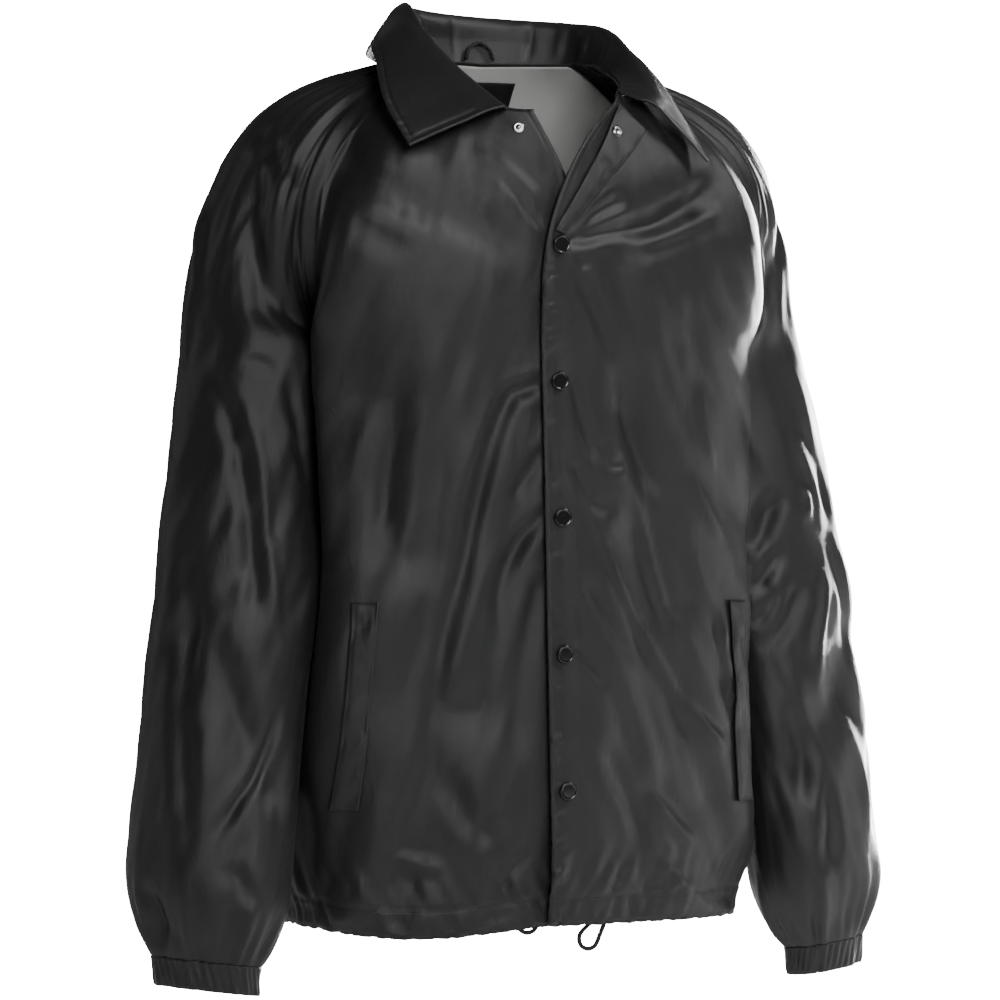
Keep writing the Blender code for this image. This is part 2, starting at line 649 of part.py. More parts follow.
def patch(tree, corners, counts, lift):
    """A grid on the front side of a panel between four corners (x and z), moved out from it by the lift."""
    top_near, top_far, foot_near, foot_far = (np.array(corner) for corner in corners)
    columns, rows = counts
    grid = np.zeros((rows, columns, 3))
    for i, v in enumerate(np.linspace(0, 1, rows)):
        for j, u in enumerate(np.linspace(0, 1, columns)):
            top, foot = (1 - u) * top_near + u * top_far, (1 - u) * foot_near + u * foot_far
            spot, normal = landed(tree, *((1 - v) * top + v * foot))
            grid[i, j] = spot + normal * lift
    return grid


def disc(name, spot, normal, lift, size, finish, collection):
    """A snap part over the cloth: a short cylinder with a rounded rim."""
    mesh = bpy.data.meshes.new(name)
    shape = bmesh.new()
    radius, height, rim = size
    bmesh.ops.create_cone(
        shape, cap_ends=True, segments=SNAP_SEGMENTS, radius1=radius, radius2=radius, depth=height
    )
    shape.to_mesh(mesh)
    shape.free()
    obj = add_object(name, mesh, finish, collection)
    obj.location = spot + normal * (lift + height / 2)
    obj.rotation_mode = "QUATERNION"
    obj.rotation_quaternion = normal.to_track_quat("Z", "Y")
    rounding = obj.modifiers.new("rim", "BEVEL")
    rounding.width = rim
    rounding.segments = 1
    rounding.limit_method = "ANGLE"
    return obj


def cord_piece(name, points, radius, finish, collection):
    """A cord or loop: a smooth curve through the points with a round section and closed ends."""
    count = CORD_STEPS * len(points)
    path = smooth_curve(points, np.linspace(0, 1, count))
    curve = bpy.data.curves.new(name, "CURVE")
    curve.dimensions = "3D"
    spline = curve.splines.new("POLY")
    spline.points.add(count - 1)
    for control, point in zip(spline.points, path):
        control.co = (*point, 1.0)
    curve.bevel_depth = radius
    curve.bevel_resolution = 1
    curve.use_fill_caps = True
    return add_object(name, curve, finish, collection)


def add_welt(name, tree, side, collection):
    """A pocket welt, a flat strip on the front that slants outwards towards its foot."""
    corners = [
        (side * x + offset, z)
        for x, z in (WELT_TOP, WELT_FOOT)
        for offset in (-WELT_SPREAD_X / 2, WELT_SPREAD_X / 2)
    ]
    cloth_piece(name, patch(tree, corners, WELT_GRID, WELT_LIFT), NYLON, collection, WELT_CLOTH)


def cord_route(loop):
    """Points (x and z) down one strand of a drawcord's loop, round its bend and up the other strand."""
    away = math.hypot(loop.reach, loop.spread / 2)
    slant = math.asin(loop.bend / away) - math.atan2(loop.spread / 2, loop.reach)
    runs = np.linspace(0, math.sqrt(away**2 - loop.bend**2), STRAND_POINTS, endpoint=False)
    down = [(loop.spread / 2 + run * math.sin(slant), run * math.cos(slant)) for run in runs]
    turns = np.linspace(-slant, math.pi + slant, BEND_POINTS)
    bend = [(loop.bend * math.cos(turn), loop.reach + loop.bend * math.sin(turn)) for turn in turns]
    up = [(-across, drop) for across, drop in reversed(down)]
    cosine, sine = math.cos(math.radians(loop.lean)), math.sin(math.radians(loop.lean))
    return [
        (loop.x + across * cosine - drop * sine, loop.z - across * sine - drop * cosine)
        for across, drop in down + bend + up
    ]


def add_drawcord(name, tree, side, loop, collection):
    """A drawcord's loop below the hem, with both of its ends behind the hem's cloth."""
    hem = landed(tree, side * loop.x, CORD_LEVEL_Z)[0].y + CLOTH + CORD_GAP + CORD_RADIUS
    points = [(side * x, hem, z) for x, z in cord_route(loop)]
    cord_piece(name, points, CORD_RADIUS, CORD, collection)


def add_fronts(sleeve, collection):
    """Both fronts with their linings, pocket welts and drawcords, the rolled lapel and the snaps."""
    left = front_grid(LEFT_NECK, LEFT_EDGE, LEFT_STRAIGHT, 0.0)
    right = front_grid(RIGHT_NECK, RIGHT_EDGE, RIGHT_STRAIGHT, HEM_SAG)
    over = LAP_RISE * (1 - lap_fade(left)) * ease(-left[..., 2] / LAP_STARTS_OVER)
    left_shell = moved_out(left, front_folds(left, LEFT_FRONT_FOLDS) + over)
    right_shell = moved_out(right, front_folds(right, RIGHT_FRONT_FOLDS))
    trees = []
    for side, name, panel, shell in ((1.0, "left", left, left_shell), (-1.0, "right", right, right_shell)):
        shell = kept_clear(drawn_in(shell), sleeve, outside=True)
        lining = lining_grid(panel, shell)[:, :-FACING_COLUMNS]
        if side < 0:
            shell, lining = mirrored(shell), mirrored(lining)
        tree = surface_of(shell)
        cloth_piece(f"front_{name}", shell, NYLON, collection)
        cloth_piece(f"lining_{name}", lining, LINING, collection, LINING_CLOTH)
        add_welt(f"pocket_welt_{name}", tree, side, collection)
        add_drawcord(f"drawcord_{name}", tree, side, LEFT_CORD if side > 0 else RIGHT_CORD, collection)
        trees.append(tree)
    add_snaps(*trees, collection)


def add_snaps(left, right, collection):
    """The rolled lapel with the open top snap, and the closed snaps down the left front."""
    corners = [LAPEL_ROLL_TOP, LAPEL_EDGE_TOP, LAPEL_ROLL_FOOT, LAPEL_EDGE_FOOT]
    lapel = patch(left, corners, LAPEL_GRID, LAPEL_LIFT)
    cloth_piece("facing_left", lapel, NYLON, collection)
    lapel_top = surface_of(lapel)
    disc("snap_socket_1", *landed(lapel_top, *SOCKET_AT), CLOTH + SOCKET_GAP, SOCKET_SIZE, METAL, collection)
    disc("snap_stud_1", *landed(right, *STUD_AT), LAY_GAP, STUD_SIZE, METAL, collection)
    for i in range(SNAPS_CLOSED):
        z = SNAP_TOP_Z - i * SNAP_PITCH
        x = straight_x(LEFT_STRAIGHT, min(z, UNDERARM_Z)) + SNAP_FROM_EDGE
        disc(f"snap_cap_{i + 2}", *landed(left, x, z), LAY_GAP, CAP_SIZE, CAP, collection)


def add_back(sleeve, collection):
    """The back with its lining, the neck label on it and the hanger loop above."""
    panel = back_grid()
    shell = drawn_in(moved_out(panel, back_folds(panel)))
    shell = mirrored(kept_clear(shell, sleeve, outside=True))
    shell = mirrored(kept_clear(shell, sleeve, outside=True))
    lining = lining_grid(panel, shell)
    cloth_piece("back", shell, NYLON, collection)
    cloth_piece("lining_back", lining, LINING, collection, LINING_CLOTH)
    half, foot = LABEL_WIDTH / 2, LABEL_TOP_Z - LABEL_HEIGHT
    corners = [(-half, LABEL_TOP_Z), (half, LABEL_TOP_Z), (-half, foot), (half, foot)]
    label = patch(surface_of(lining), corners, LABEL_GRID, LINING_CLOTH + LAY_GAP)
    cloth_piece("neck_label", label, LABEL, collection, LINING_CLOTH)
    cord_piece("hanger_loop", HANGER_LOOP, HANGER_RADIUS, CORD, collection)


def add_sleeves(collection):
    """Both sleeves with their cuffs, and the left sleeve's surface."""
    sleeve = sleeve_grid()
    sleeve = moved_out(sleeve, sleeve_folds(sleeve))
    sleeve[: UPPER_ROWS - 1] = drawn_in(sleeve)[: UPPER_ROWS - 1]
    cuff = cuff_grid()
    cloth_piece("sleeve_left", sleeve, NYLON, collection, tube=True)
    cloth_piece("sleeve_right", mirrored(sleeve), NYLON, collection, tube=True)
    cloth_piece("cuff_left", cuff, NYLON, collection, tube=True)
    cloth_piece("cuff_right", mirrored(cuff), NYLON, collection, tube=True)
    return surface_of(sleeve)


def build():
    """The jacket's pieces, in a collection of their own."""
    for obj in list(bpy.data.objects):
        bpy.data.objects.remove(obj)
    collection = bpy.data.collections.new("coach_jacket")
    bpy.context.scene.collection.children.link(collection)
    sleeve = add_sleeves(collection)
    add_fronts(sleeve, collection)
    add_back(sleeve, collection)
    cloth_piece("collar", collar_grid(), NYLON, collection, COLLAR_CLOTH, offset=0.0)


build()
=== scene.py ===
"""Visual model of a coach-style snap-front jacket in its hollow, worn form.

Every cloth piece is a thin shell on the form of its solid, with its creases placed one by one. Sizes are in
metres, those of the creases in millimetres. +Z is up, the front faces -Y and the wearer's left is +X. Tables
give one side of the jacket with x counted outwards from the centre front.
"""

from __future__ import annotations

import logging
import math
from dataclasses import dataclass, field
from enum import Enum
from typing import NamedTuple, Sequence

import bmesh
import bpy
import numpy as np
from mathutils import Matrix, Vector
from mathutils.bvhtree import BVHTree

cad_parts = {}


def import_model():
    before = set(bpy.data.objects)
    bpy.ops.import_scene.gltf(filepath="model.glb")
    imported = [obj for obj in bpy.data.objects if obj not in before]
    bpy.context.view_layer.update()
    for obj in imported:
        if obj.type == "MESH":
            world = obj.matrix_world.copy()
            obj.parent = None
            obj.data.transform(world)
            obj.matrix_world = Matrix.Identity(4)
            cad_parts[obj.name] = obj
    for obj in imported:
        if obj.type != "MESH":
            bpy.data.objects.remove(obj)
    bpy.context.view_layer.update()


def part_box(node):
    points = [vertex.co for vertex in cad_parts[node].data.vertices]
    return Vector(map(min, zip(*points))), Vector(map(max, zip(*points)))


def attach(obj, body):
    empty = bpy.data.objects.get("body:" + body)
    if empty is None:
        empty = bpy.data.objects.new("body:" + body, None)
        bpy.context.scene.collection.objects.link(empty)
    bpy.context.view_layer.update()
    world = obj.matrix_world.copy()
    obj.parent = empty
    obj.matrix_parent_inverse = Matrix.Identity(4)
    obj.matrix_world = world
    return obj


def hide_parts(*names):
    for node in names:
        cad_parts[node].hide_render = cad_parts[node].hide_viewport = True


LOG = logging.getLogger("coach_jacket")
BODY = "root"
Place = tuple[float, float]
Point = tuple[float, float, float]
Material = bpy.types.Material
Obj = bpy.types.Object
Node = bpy.types.Node
Socket = bpy.types.NodeSocket
Tree = bpy.types.NodeTree
MM = 0.001


class Side(Enum):
    """The wearer's side that a piece belongs to; the value is the sign of its x."""

    LEFT = 1
    RIGHT = -1

    @property
    def word(self) -> str:
        """The side as a word in a piece's name."""
        return self.name.lower()


class Slot(Enum):
    """The record's material slots."""

    NYLON = "nylon_shell"
    LINING = "lining_knit"
    LABEL = "label_weave"
    ENAMEL = "snap_enamel"
    NICKEL = "snap_nickel"
    BRAID = "drawcord_braid"


class Border(Enum):
    """The borders of a grid: its axis and whether it is the last line."""

    TOP = (0, False)
    FOOT = (0, True)
    FIRST = (1, False)
    LAST = (1, True)


class Ring(NamedTuple):
    """A level section of the body."""

    z: float
    centre_y: float
    half_width: float
    front: float
    back: float
    squareness: float


class Loop(NamedTuple):
    """A section of the sleeve, turned about the arm by degrees and rising outwards."""

    z: float
    centre_x: float
    centre_y: float
    half_width: float
    half_depth: float
    turn: float
    rise: float


class Station(NamedTuple):
    """A place round the neck: the collar's base, its roll and its outer edge."""

    base: Point
    roll: Point
    edge: Point


class Fold(NamedTuple):
    """One of the solid's own broad folds, straight from one place to another."""

    start: Place
    end: Place
    half_width: float
    depth: float


class Crease(NamedTuple):
    """A soft trough (negative depth) or ridge along places on a piece: in millimetres, or degrees round a sleeve."""

    places: tuple[Place, ...]
    half_width: float
    depth: float
    spread: float = 1.0
    rooted: bool = False

    def scaled(self, across: float) -> Crease:
        """The crease in metres, where across is what one unit across the piece stands for."""
        places = tuple((x * across, z * MM) for x, z in self.places)
        return Crease(places, self.half_width * MM, self.depth * MM, self.spread, self.rooted)


# Curves and grids


def hermite(knots: np.ndarray, values: np.ndarray, t: np.ndarray) -> np.ndarray:
    """Cubic interpolation of rows of values.

    Args:
        knots: Rising places of the rows.
        values: One row for each knot.
        t: Places to interpolate at.

    Returns:
        One row for each place.
    """
    slopes = np.gradient(values, knots, axis=0)
    first = np.clip(np.searchsorted(knots, t, side="right") - 1, 0, len(knots) - 2)
    shape = (-1,) + (1,) * (values.ndim - 1)
    width = (knots[first + 1] - knots[first]).reshape(shape)
    part = (t - knots[first]).reshape(shape) / width
    start = values[first] * (1 + 2 * part) * (1 - part) ** 2
    end = values[first + 1] * part**2 * (3 - 2 * part)
    start_slope = slopes[first] * width * part * (1 - part) ** 2
    end_slope = slopes[first + 1] * width * part**2 * (part - 1)
    return start + end + start_slope + end_slope


def lengths_along(points: np.ndarray) -> np.ndarray:
    """The length along a line of points, at each of them."""
    return np.concatenate([[0.0], np.cumsum(np.linalg.norm(np.diff(points, axis=0), axis=1))])


def values_at(places: np.ndarray, along: np.ndarray, rows: np.ndarray) -> np.ndarray:
    """Points or directions of a line, interpolated at lengths along it."""
    return np.stack([np.interp(places, along, rows[:, k]) for k in range(3)], axis=1)


def bell(off: np.ndarray, width: float) -> np.ndarray:
    """A smooth bump of height 1, by the distance from its middle."""
    return np.exp(-((off / width) ** 2))


def smooth_curve(points: Sequence[Sequence[float]], t: np.ndarray) -> np.ndarray:
    """Positions on a smooth curve through points.

    Args:
        points: Points that the curve goes through.
        t: Fractions of its length, counted by the points' spacing.

    Returns:
        One position for each fraction.
    """
    through = np.asarray(points, float)
    along = lengths_along(through)
    return hermite(along / along[-1], through, np.atleast_1d(t))


def row_at(table: Sequence[NamedTuple], z: float) -> NamedTuple:
    """The row of a table of sections, interpolated to a height."""
    values = np.array(table)[::-1]
    return type(table[0])(*hermite(values[:, 0], values, np.array([z]))[0])


def ease(x: np.ndarray | float) -> np.ndarray:
    """Smooth step from 0 to 1."""
    x = np.clip(x, 0.0, 1.0)
    return x * x * (3 - 2 * x)


def unit(vectors: np.ndarray) -> np.ndarray:
    """The vectors brought to length 1."""
    return vectors / np.maximum(np.linalg.norm(vectors, axis=-1, keepdims=True), 1e-9)


def normals_of(grid: np.ndarray) -> np.ndarray:
    """Unit normals of a grid, along the cross product of its columns and rows."""
    return unit(np.cross(np.gradient(grid, axis=1), np.gradient(grid, axis=0)))


def moved_out(grid: np.ndarray, heights: np.ndarray) -> np.ndarray:
    """The grid moved along its outward normals by the heights."""
    return grid + normals_of(grid) * heights[..., None]


def mirrored(grid: np.ndarray) -> np.ndarray:
    """The same piece on the other side, with its columns turned round to keep its outside out."""
    return grid[:, ::-1] * np.array([-1.0, 1.0, 1.0])


def gathered_places(count: int, gather: float) -> np.ndarray:
    """Fractions from 0 to 1 that lie closer together towards both ends."""
    t = np.linspace(0.0, 1.0, count)
    return t - gather * np.sin(2 * math.pi * t) / (2 * math.pi)


def refined(grid: np.ndarray, rows: np.ndarray, columns: np.ndarray) -> np.ndarray:
    """A finer grid on the same surface.

    Args:
        grid: The coarse grid.
        rows: Fractions down it.
        columns: Fractions across it.

    Returns:
        Points at every row and column asked for.
    """
    down = hermite(np.arange(len(grid)) * 1.0, grid, rows * (len(grid) - 1))
    across = np.swapaxes(down, 0, 1)
    fine = hermite(np.arange(len(across)) * 1.0, across, columns * (len(across) - 1))
    return np.swapaxes(fine, 0, 1)


def relaxed(grid: np.ndarray, rounds: int, share: np.ndarray | float) -> np.ndarray:
    """Evens out the inside of a grid.

    Args:
        grid: The grid, whose border is kept.
        rounds: How many times.
        share: How far each point may move towards the mean of its neighbours.

    Returns:
        The evened grid.
    """
    grid = grid.copy()
    part = np.broadcast_to(share, grid.shape[:2])[1:-1, 1:-1, None] / 2
    for _ in range(rounds):
        mean = (grid[:-2, 1:-1] + grid[2:, 1:-1] + grid[1:-1, :-2] + grid[1:-1, 2:]) / 4
        grid[1:-1, 1:-1] += part * (mean - grid[1:-1, 1:-1])
    return grid


def coons(u: np.ndarray, top: np.ndarray, foot: np.ndarray, near: np.ndarray, far: np.ndarray) -> np.ndarray:
    """A grid that spans four border curves.

    Args:
        u: Fractions across.
        top: First row.
        foot: Last row.
        near: First column.
        far: Last column.

    Returns:
        The grid.
    """
    u = u[None, :, None]
    v = np.linspace(0, 1, len(near))[:, None, None]
    rows = (1 - v) * top[None] + v * foot[None]
    columns = (1 - u) * near[:, None] + u * far[:, None]
    corners = (1 - v) * ((1 - u) * top[0] + u * top[-1]) + v * ((1 - u) * foot[0] + u * foot[-1])
    return rows + columns - corners


def drawn_in(grid: np.ndarray, amount: float) -> np.ndarray:
    """The grid with each border moved in from its seam by an amount.

    Args:
        grid: The points.
        amount: How far; a negative one moves it out.

    Returns:
        The moved points.
    """
    grid = grid.copy()
    for axis in (0, 1):
        lines = np.moveaxis(grid, axis, 0)
        for border, inner in ((0, 1), (-1, -2)):
            along = unit(np.gradient(lines[border], axis=0))
            step = lines[inner] - lines[border]
            step -= along * np.sum(step * along, axis=1, keepdims=True)
            lines[border] += amount * unit(step)
    return grid


def distance_from(grid: np.ndarray, border: Border) -> np.ndarray:
    """How far each point of a grid lies from one of its borders, along its row or column.

    Args:
        grid: The points.
        border: The border.

    Returns:
        A distance for each point.
    """
    axis, last = border.value
    lines = np.moveaxis(grid, axis, 0)
    lines = lines[::-1] if last else lines
    steps = np.linalg.norm(np.diff(lines, axis=0), axis=2)
    found = np.concatenate([np.zeros((1, steps.shape[1])), np.cumsum(steps, axis=0)])
    return np.moveaxis(found[::-1] if last else found, 0, axis)


def nearest_border(grid: np.ndarray, *borders: Border) -> np.ndarray:
    """How far each point lies from the nearest of some borders."""
    return np.min([distance_from(grid, border) for border in borders], axis=0)


def inset_line(grid: np.ndarray, border: Border, distance: float) -> tuple[np.ndarray, np.ndarray]:
    """A line that runs beside a border.

    Args:
        grid: The piece.
        border: The border that it follows.
        distance: How far in from it.

    Returns:
        The line's points and the outward normals there.
    """
    axis, _ = border.value
    away = np.moveaxis(distance_from(grid, border), axis, -1)
    points = np.moveaxis(grid, axis, 1) if axis == 0 else grid
    normals = normals_of(grid)
    normals = np.moveaxis(normals, axis, 1) if axis == 0 else normals
    line, facing = [], []
    for lengths, spots, upright in zip(away, points, normals):
        order = np.argsort(lengths)
        line.append([np.interp(distance, lengths[order], spots[order, k]) for k in range(3)])
        facing.append([np.interp(distance, lengths[order], upright[order, k]) for k in range(3)])
    return np.array(line), unit(np.array(facing))


def surface_of(grid: np.ndarray) -> BVHTree:
    """A search tree over a piece's outer surface, for what lies on it."""
    rows, columns = grid.shape[:2]
    points = [Vector(point) for point in grid.reshape(-1, 3)]
    return BVHTree.FromPolygons(points, grid_faces(rows, columns))


def grid_faces(rows: int, columns: int) -> list[tuple[int, int, int, int]]:
    """The four-sided faces of a grid of points, facing the side of its normals."""
    corner = np.arange((rows - 1) * columns).reshape(rows - 1, columns)[:, :-1].reshape(-1)
    faces = np.stack([corner, corner + 1, corner + columns + 1, corner + columns], axis=1)
    return [tuple(face) for face in faces.tolist()]


def landed(tree: BVHTree, x: float, z: float) -> tuple[Vector, Vector]:
    """A piece's point at x and z met from in front, and its normal on that side."""
    spot, normal, _, _ = tree.ray_cast(Vector((x, -1.0, z)), Vector((0.0, 1.0, 0.0)))
    return spot, normal * math.copysign(1.0, -normal.y)


def kept_clear(grid: np.ndarray, tree: BVHTree, outside: bool, clearance: np.ndarray, share: np.ndarray) -> np.ndarray:
    """Keeps the inner points of a grid to one side of another piece.

    Args:
        grid: The points.
        tree: The other piece's surface.
        outside: Whether they stay outside it.
        clearance: How far each stays from it.
        share: How much of the move each makes, so that a sewn border stays on its seam.

    Returns:
        The points, moved where they were too near.
    """
    reach, evening_rounds = 0.014, 12
    side = 1.0 if outside else -1.0
    moves = np.zeros_like(grid)
    for row in range(1, grid.shape[0] - 1):
        for column in range(1, grid.shape[1] - 1):
            place = Vector(grid[row, column])
            spot, normal, _, _ = tree.find_nearest(place, reach)
            if spot is None:
                continue
            short = clearance[row, column] - side * (place - spot).dot(normal)
            if short > 0:
                moves[row, column] = side * short * np.array(normal)
    return grid + relaxed(moves * share[..., None], evening_rounds, 1.0)


# Creases


def fold_heights(marks: np.ndarray, folds: Sequence[Fold]) -> np.ndarray:
    """Sum of the solid's broad folds at places on a piece.

    Args:
        marks: Each point's place, as an across measure and z.
        folds: The folds.

    Returns:
        A height for each point.
    """
    height = np.zeros(marks.shape[:2])
    for fold in folds:
        start, run = np.array(fold.start), np.array(fold.end) - np.array(fold.start)
        part = np.clip(((marks - start) @ run) / (run @ run), 0.0, 1.0)
        off = np.linalg.norm(marks - start - part[..., None] * run, axis=2)
        height += fold.depth * bell(off, fold.half_width)
    return height


def crease_heights(grid: np.ndarray, marks: np.ndarray, creases: Sequence[Crease], across: float = MM) -> np.ndarray:
    """Sum of the creases of a piece, each a trough or ridge with lips of the opposite kind beside it.

    Args:
        grid: The piece's points.
        marks: Each point's place, as an across measure and z.
        creases: The creases, placed by marks.
        across: What one unit across of a crease's places stands for.

    Returns:
        A height for each point.
    """
    steps, snap, tail, lip, lip_at, lip_width = 19, 0.004, 0.30, 0.14, 1.9, 0.85
    narrow, crisp, rounding = 0.66, 1.5, 0.30
    flat_marks, flat = marks.reshape(-1, 2), grid.reshape(-1, 3)
    height = np.zeros(len(flat))
    for crease in [written.scaled(across) for written in creases]:
        line = smooth_curve(crease.places, np.linspace(0, 1, steps))
        gaps = ((flat_marks[None] - line[:, None]) ** 2).sum(axis=2)
        weights = np.exp(-(gaps - gaps.min(axis=1, keepdims=True)) / snap**2)
        spots = weights @ flat / weights.sum(axis=1, keepdims=True)
        reach = 4 * crease.half_width * max(crease.spread, 1.0)
        low, high = spots.min(axis=0) - reach, spots.max(axis=0) + reach
        near = np.flatnonzero(((flat > low) & (flat < high)).all(axis=1))
        points = flat[near]
        best, along = np.full(len(near), 1e9), np.zeros(len(near))
        for step in range(steps - 1):
            run = spots[step + 1] - spots[step]
            part = np.clip((points - spots[step]) @ run / max(run @ run, 1e-12), 0.0, 1.0)
            off = np.linalg.norm(points - spots[step] - part[:, None] * run, axis=1)
            closer = off < best
            best[closer] = off[closer]
            along[closer] = (step + part[closer]) / (steps - 1)
        width = narrow * crease.half_width * (1 + (crease.spread - 1) * along)
        off = np.hypot(best / width, rounding) - rounding
        start = 1.0 if crease.rooted else ease(along / tail)
        fade = start * ease((1 - along) / tail)
        shape = np.exp(-(off**crisp)) - lip * bell(off - lip_at, lip_width)
        height[near] += crease.depth * fade * shape
    return height.reshape(grid.shape[:2])


# Height, shortest and longest wave and uprightness of the cloth's faint fine creasing
FINE_CREASING = (0.00028, 0.012, 0.045, 3.5)


@dataclass(frozen=True)
class Unevenness:
    """Uneven waves of hanging cloth, a sum of plane waves longer up and down than across; a lean slants them."""

    seed: int
    height: float = 0.0007
    shortest: float = 0.035
    longest: float = 0.130
    upright: float = 2.4
    count: int = 28
    lean: float = 0.0

    def heights(self, marks: np.ndarray) -> np.ndarray:
        """Heights at places given by an across measure and z.

        Args:
            marks: The places.

        Returns:
            A height for each place.
        """
        draw = np.random.default_rng(self.seed)
        total = np.zeros(marks.shape[:2])
        for _ in range(self.count):
            length = draw.uniform(self.shortest, self.longest)
            turn, phase = draw.uniform(0, 2 * math.pi, 2)
            across, down = math.cos(turn) / length, math.sin(turn) / (length * self.upright)
            size = self.height * length / self.longest
            level = marks[..., 0] + self.lean * marks[..., 1]
            total += size * np.sin(2 * math.pi * (level * across + marks[..., 1] * down) + phase)
        return total


@dataclass(frozen=True)
class Puckers:
    """Small irregular gathers along a stitched border."""

    seed: int
    pitch: float = 0.011
    height: float = 0.0007
    start: float = 0.0015
    reach: float = 0.016

    def heights(self, along: np.ndarray, away: np.ndarray) -> np.ndarray:
        """Heights from the length along the border and the distance from it.

        Args:
            along: Lengths along the border.
            away: Distances from it.

        Returns:
            The heights.
        """
        draw = np.random.default_rng(self.seed)
        total = np.zeros(np.broadcast_shapes(along.shape, away.shape))
        for scale in (1.0, 1.37, 0.73, 2.1, 0.53):
            drift, phase = draw.uniform(-0.5, 0.5), draw.uniform(0, 2 * math.pi)
            turns = (along + drift * away) / (self.pitch * scale)
            total += np.sin(2 * math.pi * turns + phase) * draw.uniform(0.4, 1.0)
        band = ease(away / self.start) * (1 - ease((away - self.reach * 0.35) / (self.reach * 0.65)))
        return self.height * total * band


# Meshes


def linked(name: str, data: bpy.types.ID) -> Obj:
    """A new object in the scene that holds a mesh, a light or a camera."""
    obj = bpy.data.objects.new(name, data)
    bpy.context.scene.collection.objects.link(obj)
    return obj


def cloth_object(name: str, grid: np.ndarray, wall: float, material: Material, tube: bool = False,
                 offset: float = -1.0) -> Obj:
    """A thin cloth shell over a grid of points.

    Args:
        name: The piece's name.
        grid: Its outer points.
        wall: Its thickness.
        material: Its finish.
        tube: Whether its first and last columns meet.
        offset: -1 thickens it inwards, 0 to both sides.

    Returns:
        The object, linked to the scene.
    """
    rows, columns = grid.shape[:2]
    mesh = bpy.data.meshes.new(name)
    mesh.from_pydata(grid.reshape(-1, 3).tolist(), [], grid_faces(rows, columns))
    across = distance_from(grid, Border.FIRST)
    across = across - across[:, columns // 2 : columns // 2 + 1]
    flat = np.stack([across, distance_from(grid, Border.TOP)], axis=2).reshape(-1, 2)
    corners = np.empty(len(mesh.loops), np.int32)
    mesh.loops.foreach_get("vertex_index", corners)
    layer = mesh.uv_layers.new(name="cloth_metres")
    layer.data.foreach_set("uv", flat[corners].reshape(-1).astype(np.float32))
    if tube:
        shape = bmesh.new()
        shape.from_mesh(mesh)
        bmesh.ops.remove_doubles(shape, verts=shape.verts, dist=1e-5)
        shape.to_mesh(mesh)
        shape.free()
    mesh.shade_smooth()
    mesh.materials.append(material)
    obj = linked(name, mesh)
    thicken = obj.modifiers.new("wall", "SOLIDIFY")
    thicken.thickness, thicken.offset = wall, offset
    return obj


def mesh_object(name: str, points: Sequence[Sequence[float]], faces: Sequence[Sequence[int]],
                material: Material) -> Obj:
    """A smooth-shaded object from points and faces.

    Args:
        name: Its name.
        points: Its points.
        faces: Its faces.
        material: Its finish.

    Returns:
        The object.
    """
    mesh = bpy.data.meshes.new(name)
    mesh.from_pydata([tuple(point) for point in points], [], [tuple(face) for face in faces])
    mesh.shade_smooth()
    mesh.materials.append(material)
    return linked(name, mesh)


def settle(obj: Obj, slot: Slot, *nodes: str) -> Obj:
    """Lets a piece ride on the jacket and stand for its solids.

    Args:
        obj: The piece.
        slot: Not used.
        *nodes: The solids that it replaces.

    Returns:
        The piece.
    """
    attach(obj, BODY)
    if nodes:
        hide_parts(*nodes)
    LOG.info("%s: %d faces", obj.name, len(obj.data.polygons))
    return obj


def sewn_piece(node: str, grid: np.ndarray, wall: float, finish: Material, slot: Slot, held: str,
               **shell: object) -> None:
    """Makes a cloth piece in place of its solid.

    Args:
        node: The solid that it stands for.
        grid: Its outer points.
        wall: Its thickness.
        finish: Its material.
        slot: The record's slot.
        held: Not used.
        **shell: What else the shell needs.
    """
    obj = cloth_object(f"{node}_cloth", grid, wall, finish, **shell)
    settle(obj, slot, node)


def tube_object(name: str, path: np.ndarray, radius: float, material: Material, sides: int = 14) -> Obj:
    """A round cord along a path, with domed ends and a map of turns and metres.

    Args:
        name: The piece's name.
        path: Points of its centre line.
        radius: Its radius.
        material: Its finish.
        sides: Points round it.

    Returns:
        The object.
    """
    along = unit(np.gradient(path, axis=0))
    side = unit(np.cross(along[0], [0.31, 0.17, 0.93]))
    length = lengths_along(path)
    rings, spots = [], []
    domes = ((0.15, 0.25), (0.45, 0.75))
    for index, (centre, axis) in enumerate(zip(path, along)):
        side = unit(side - axis * (side @ axis))
        other = np.cross(axis, side)
        turn = 2 * math.pi * np.arange(sides) / sides
        circle = np.cos(turn)[:, None] * side + np.sin(turn)[:, None] * other
        before = [(-radius * (1 - back), size) for back, size in domes] if index == 0 else []
        after = [(radius * (1 - back), size) for back, size in reversed(domes)] if index == len(path) - 1 else []
        for shift, size in [*before, (0.0, 1.0), *after]:
            rings.append(centre + axis * shift + circle * radius * size)
            spots.append(length[index] + shift)
    points = np.concatenate(rings)
    faces = []
    for ring in range(len(rings) - 1):
        for step in range(sides):
            a, b = ring * sides + step, ring * sides + (step + 1) % sides
            faces.append((a, b, b + sides, a + sides))
    faces.append(tuple(range(sides))[::-1])
    faces.append(tuple(range(len(points) - sides, len(points))))
    obj = mesh_object(name, points, faces, material)
    layer = obj.data.uv_layers.new(name="cloth_metres")
    for face in obj.data.polygons:
        first = obj.data.loops[face.loop_start].vertex_index
        for loop in face.loop_indices:
            vertex = obj.data.loops[loop].vertex_index
            turn = vertex % sides + (sides if vertex % sides < first % sides - 1 else 0)
            layer.data[loop].uv = (turn / sides, spots[vertex // sides])
    return obj


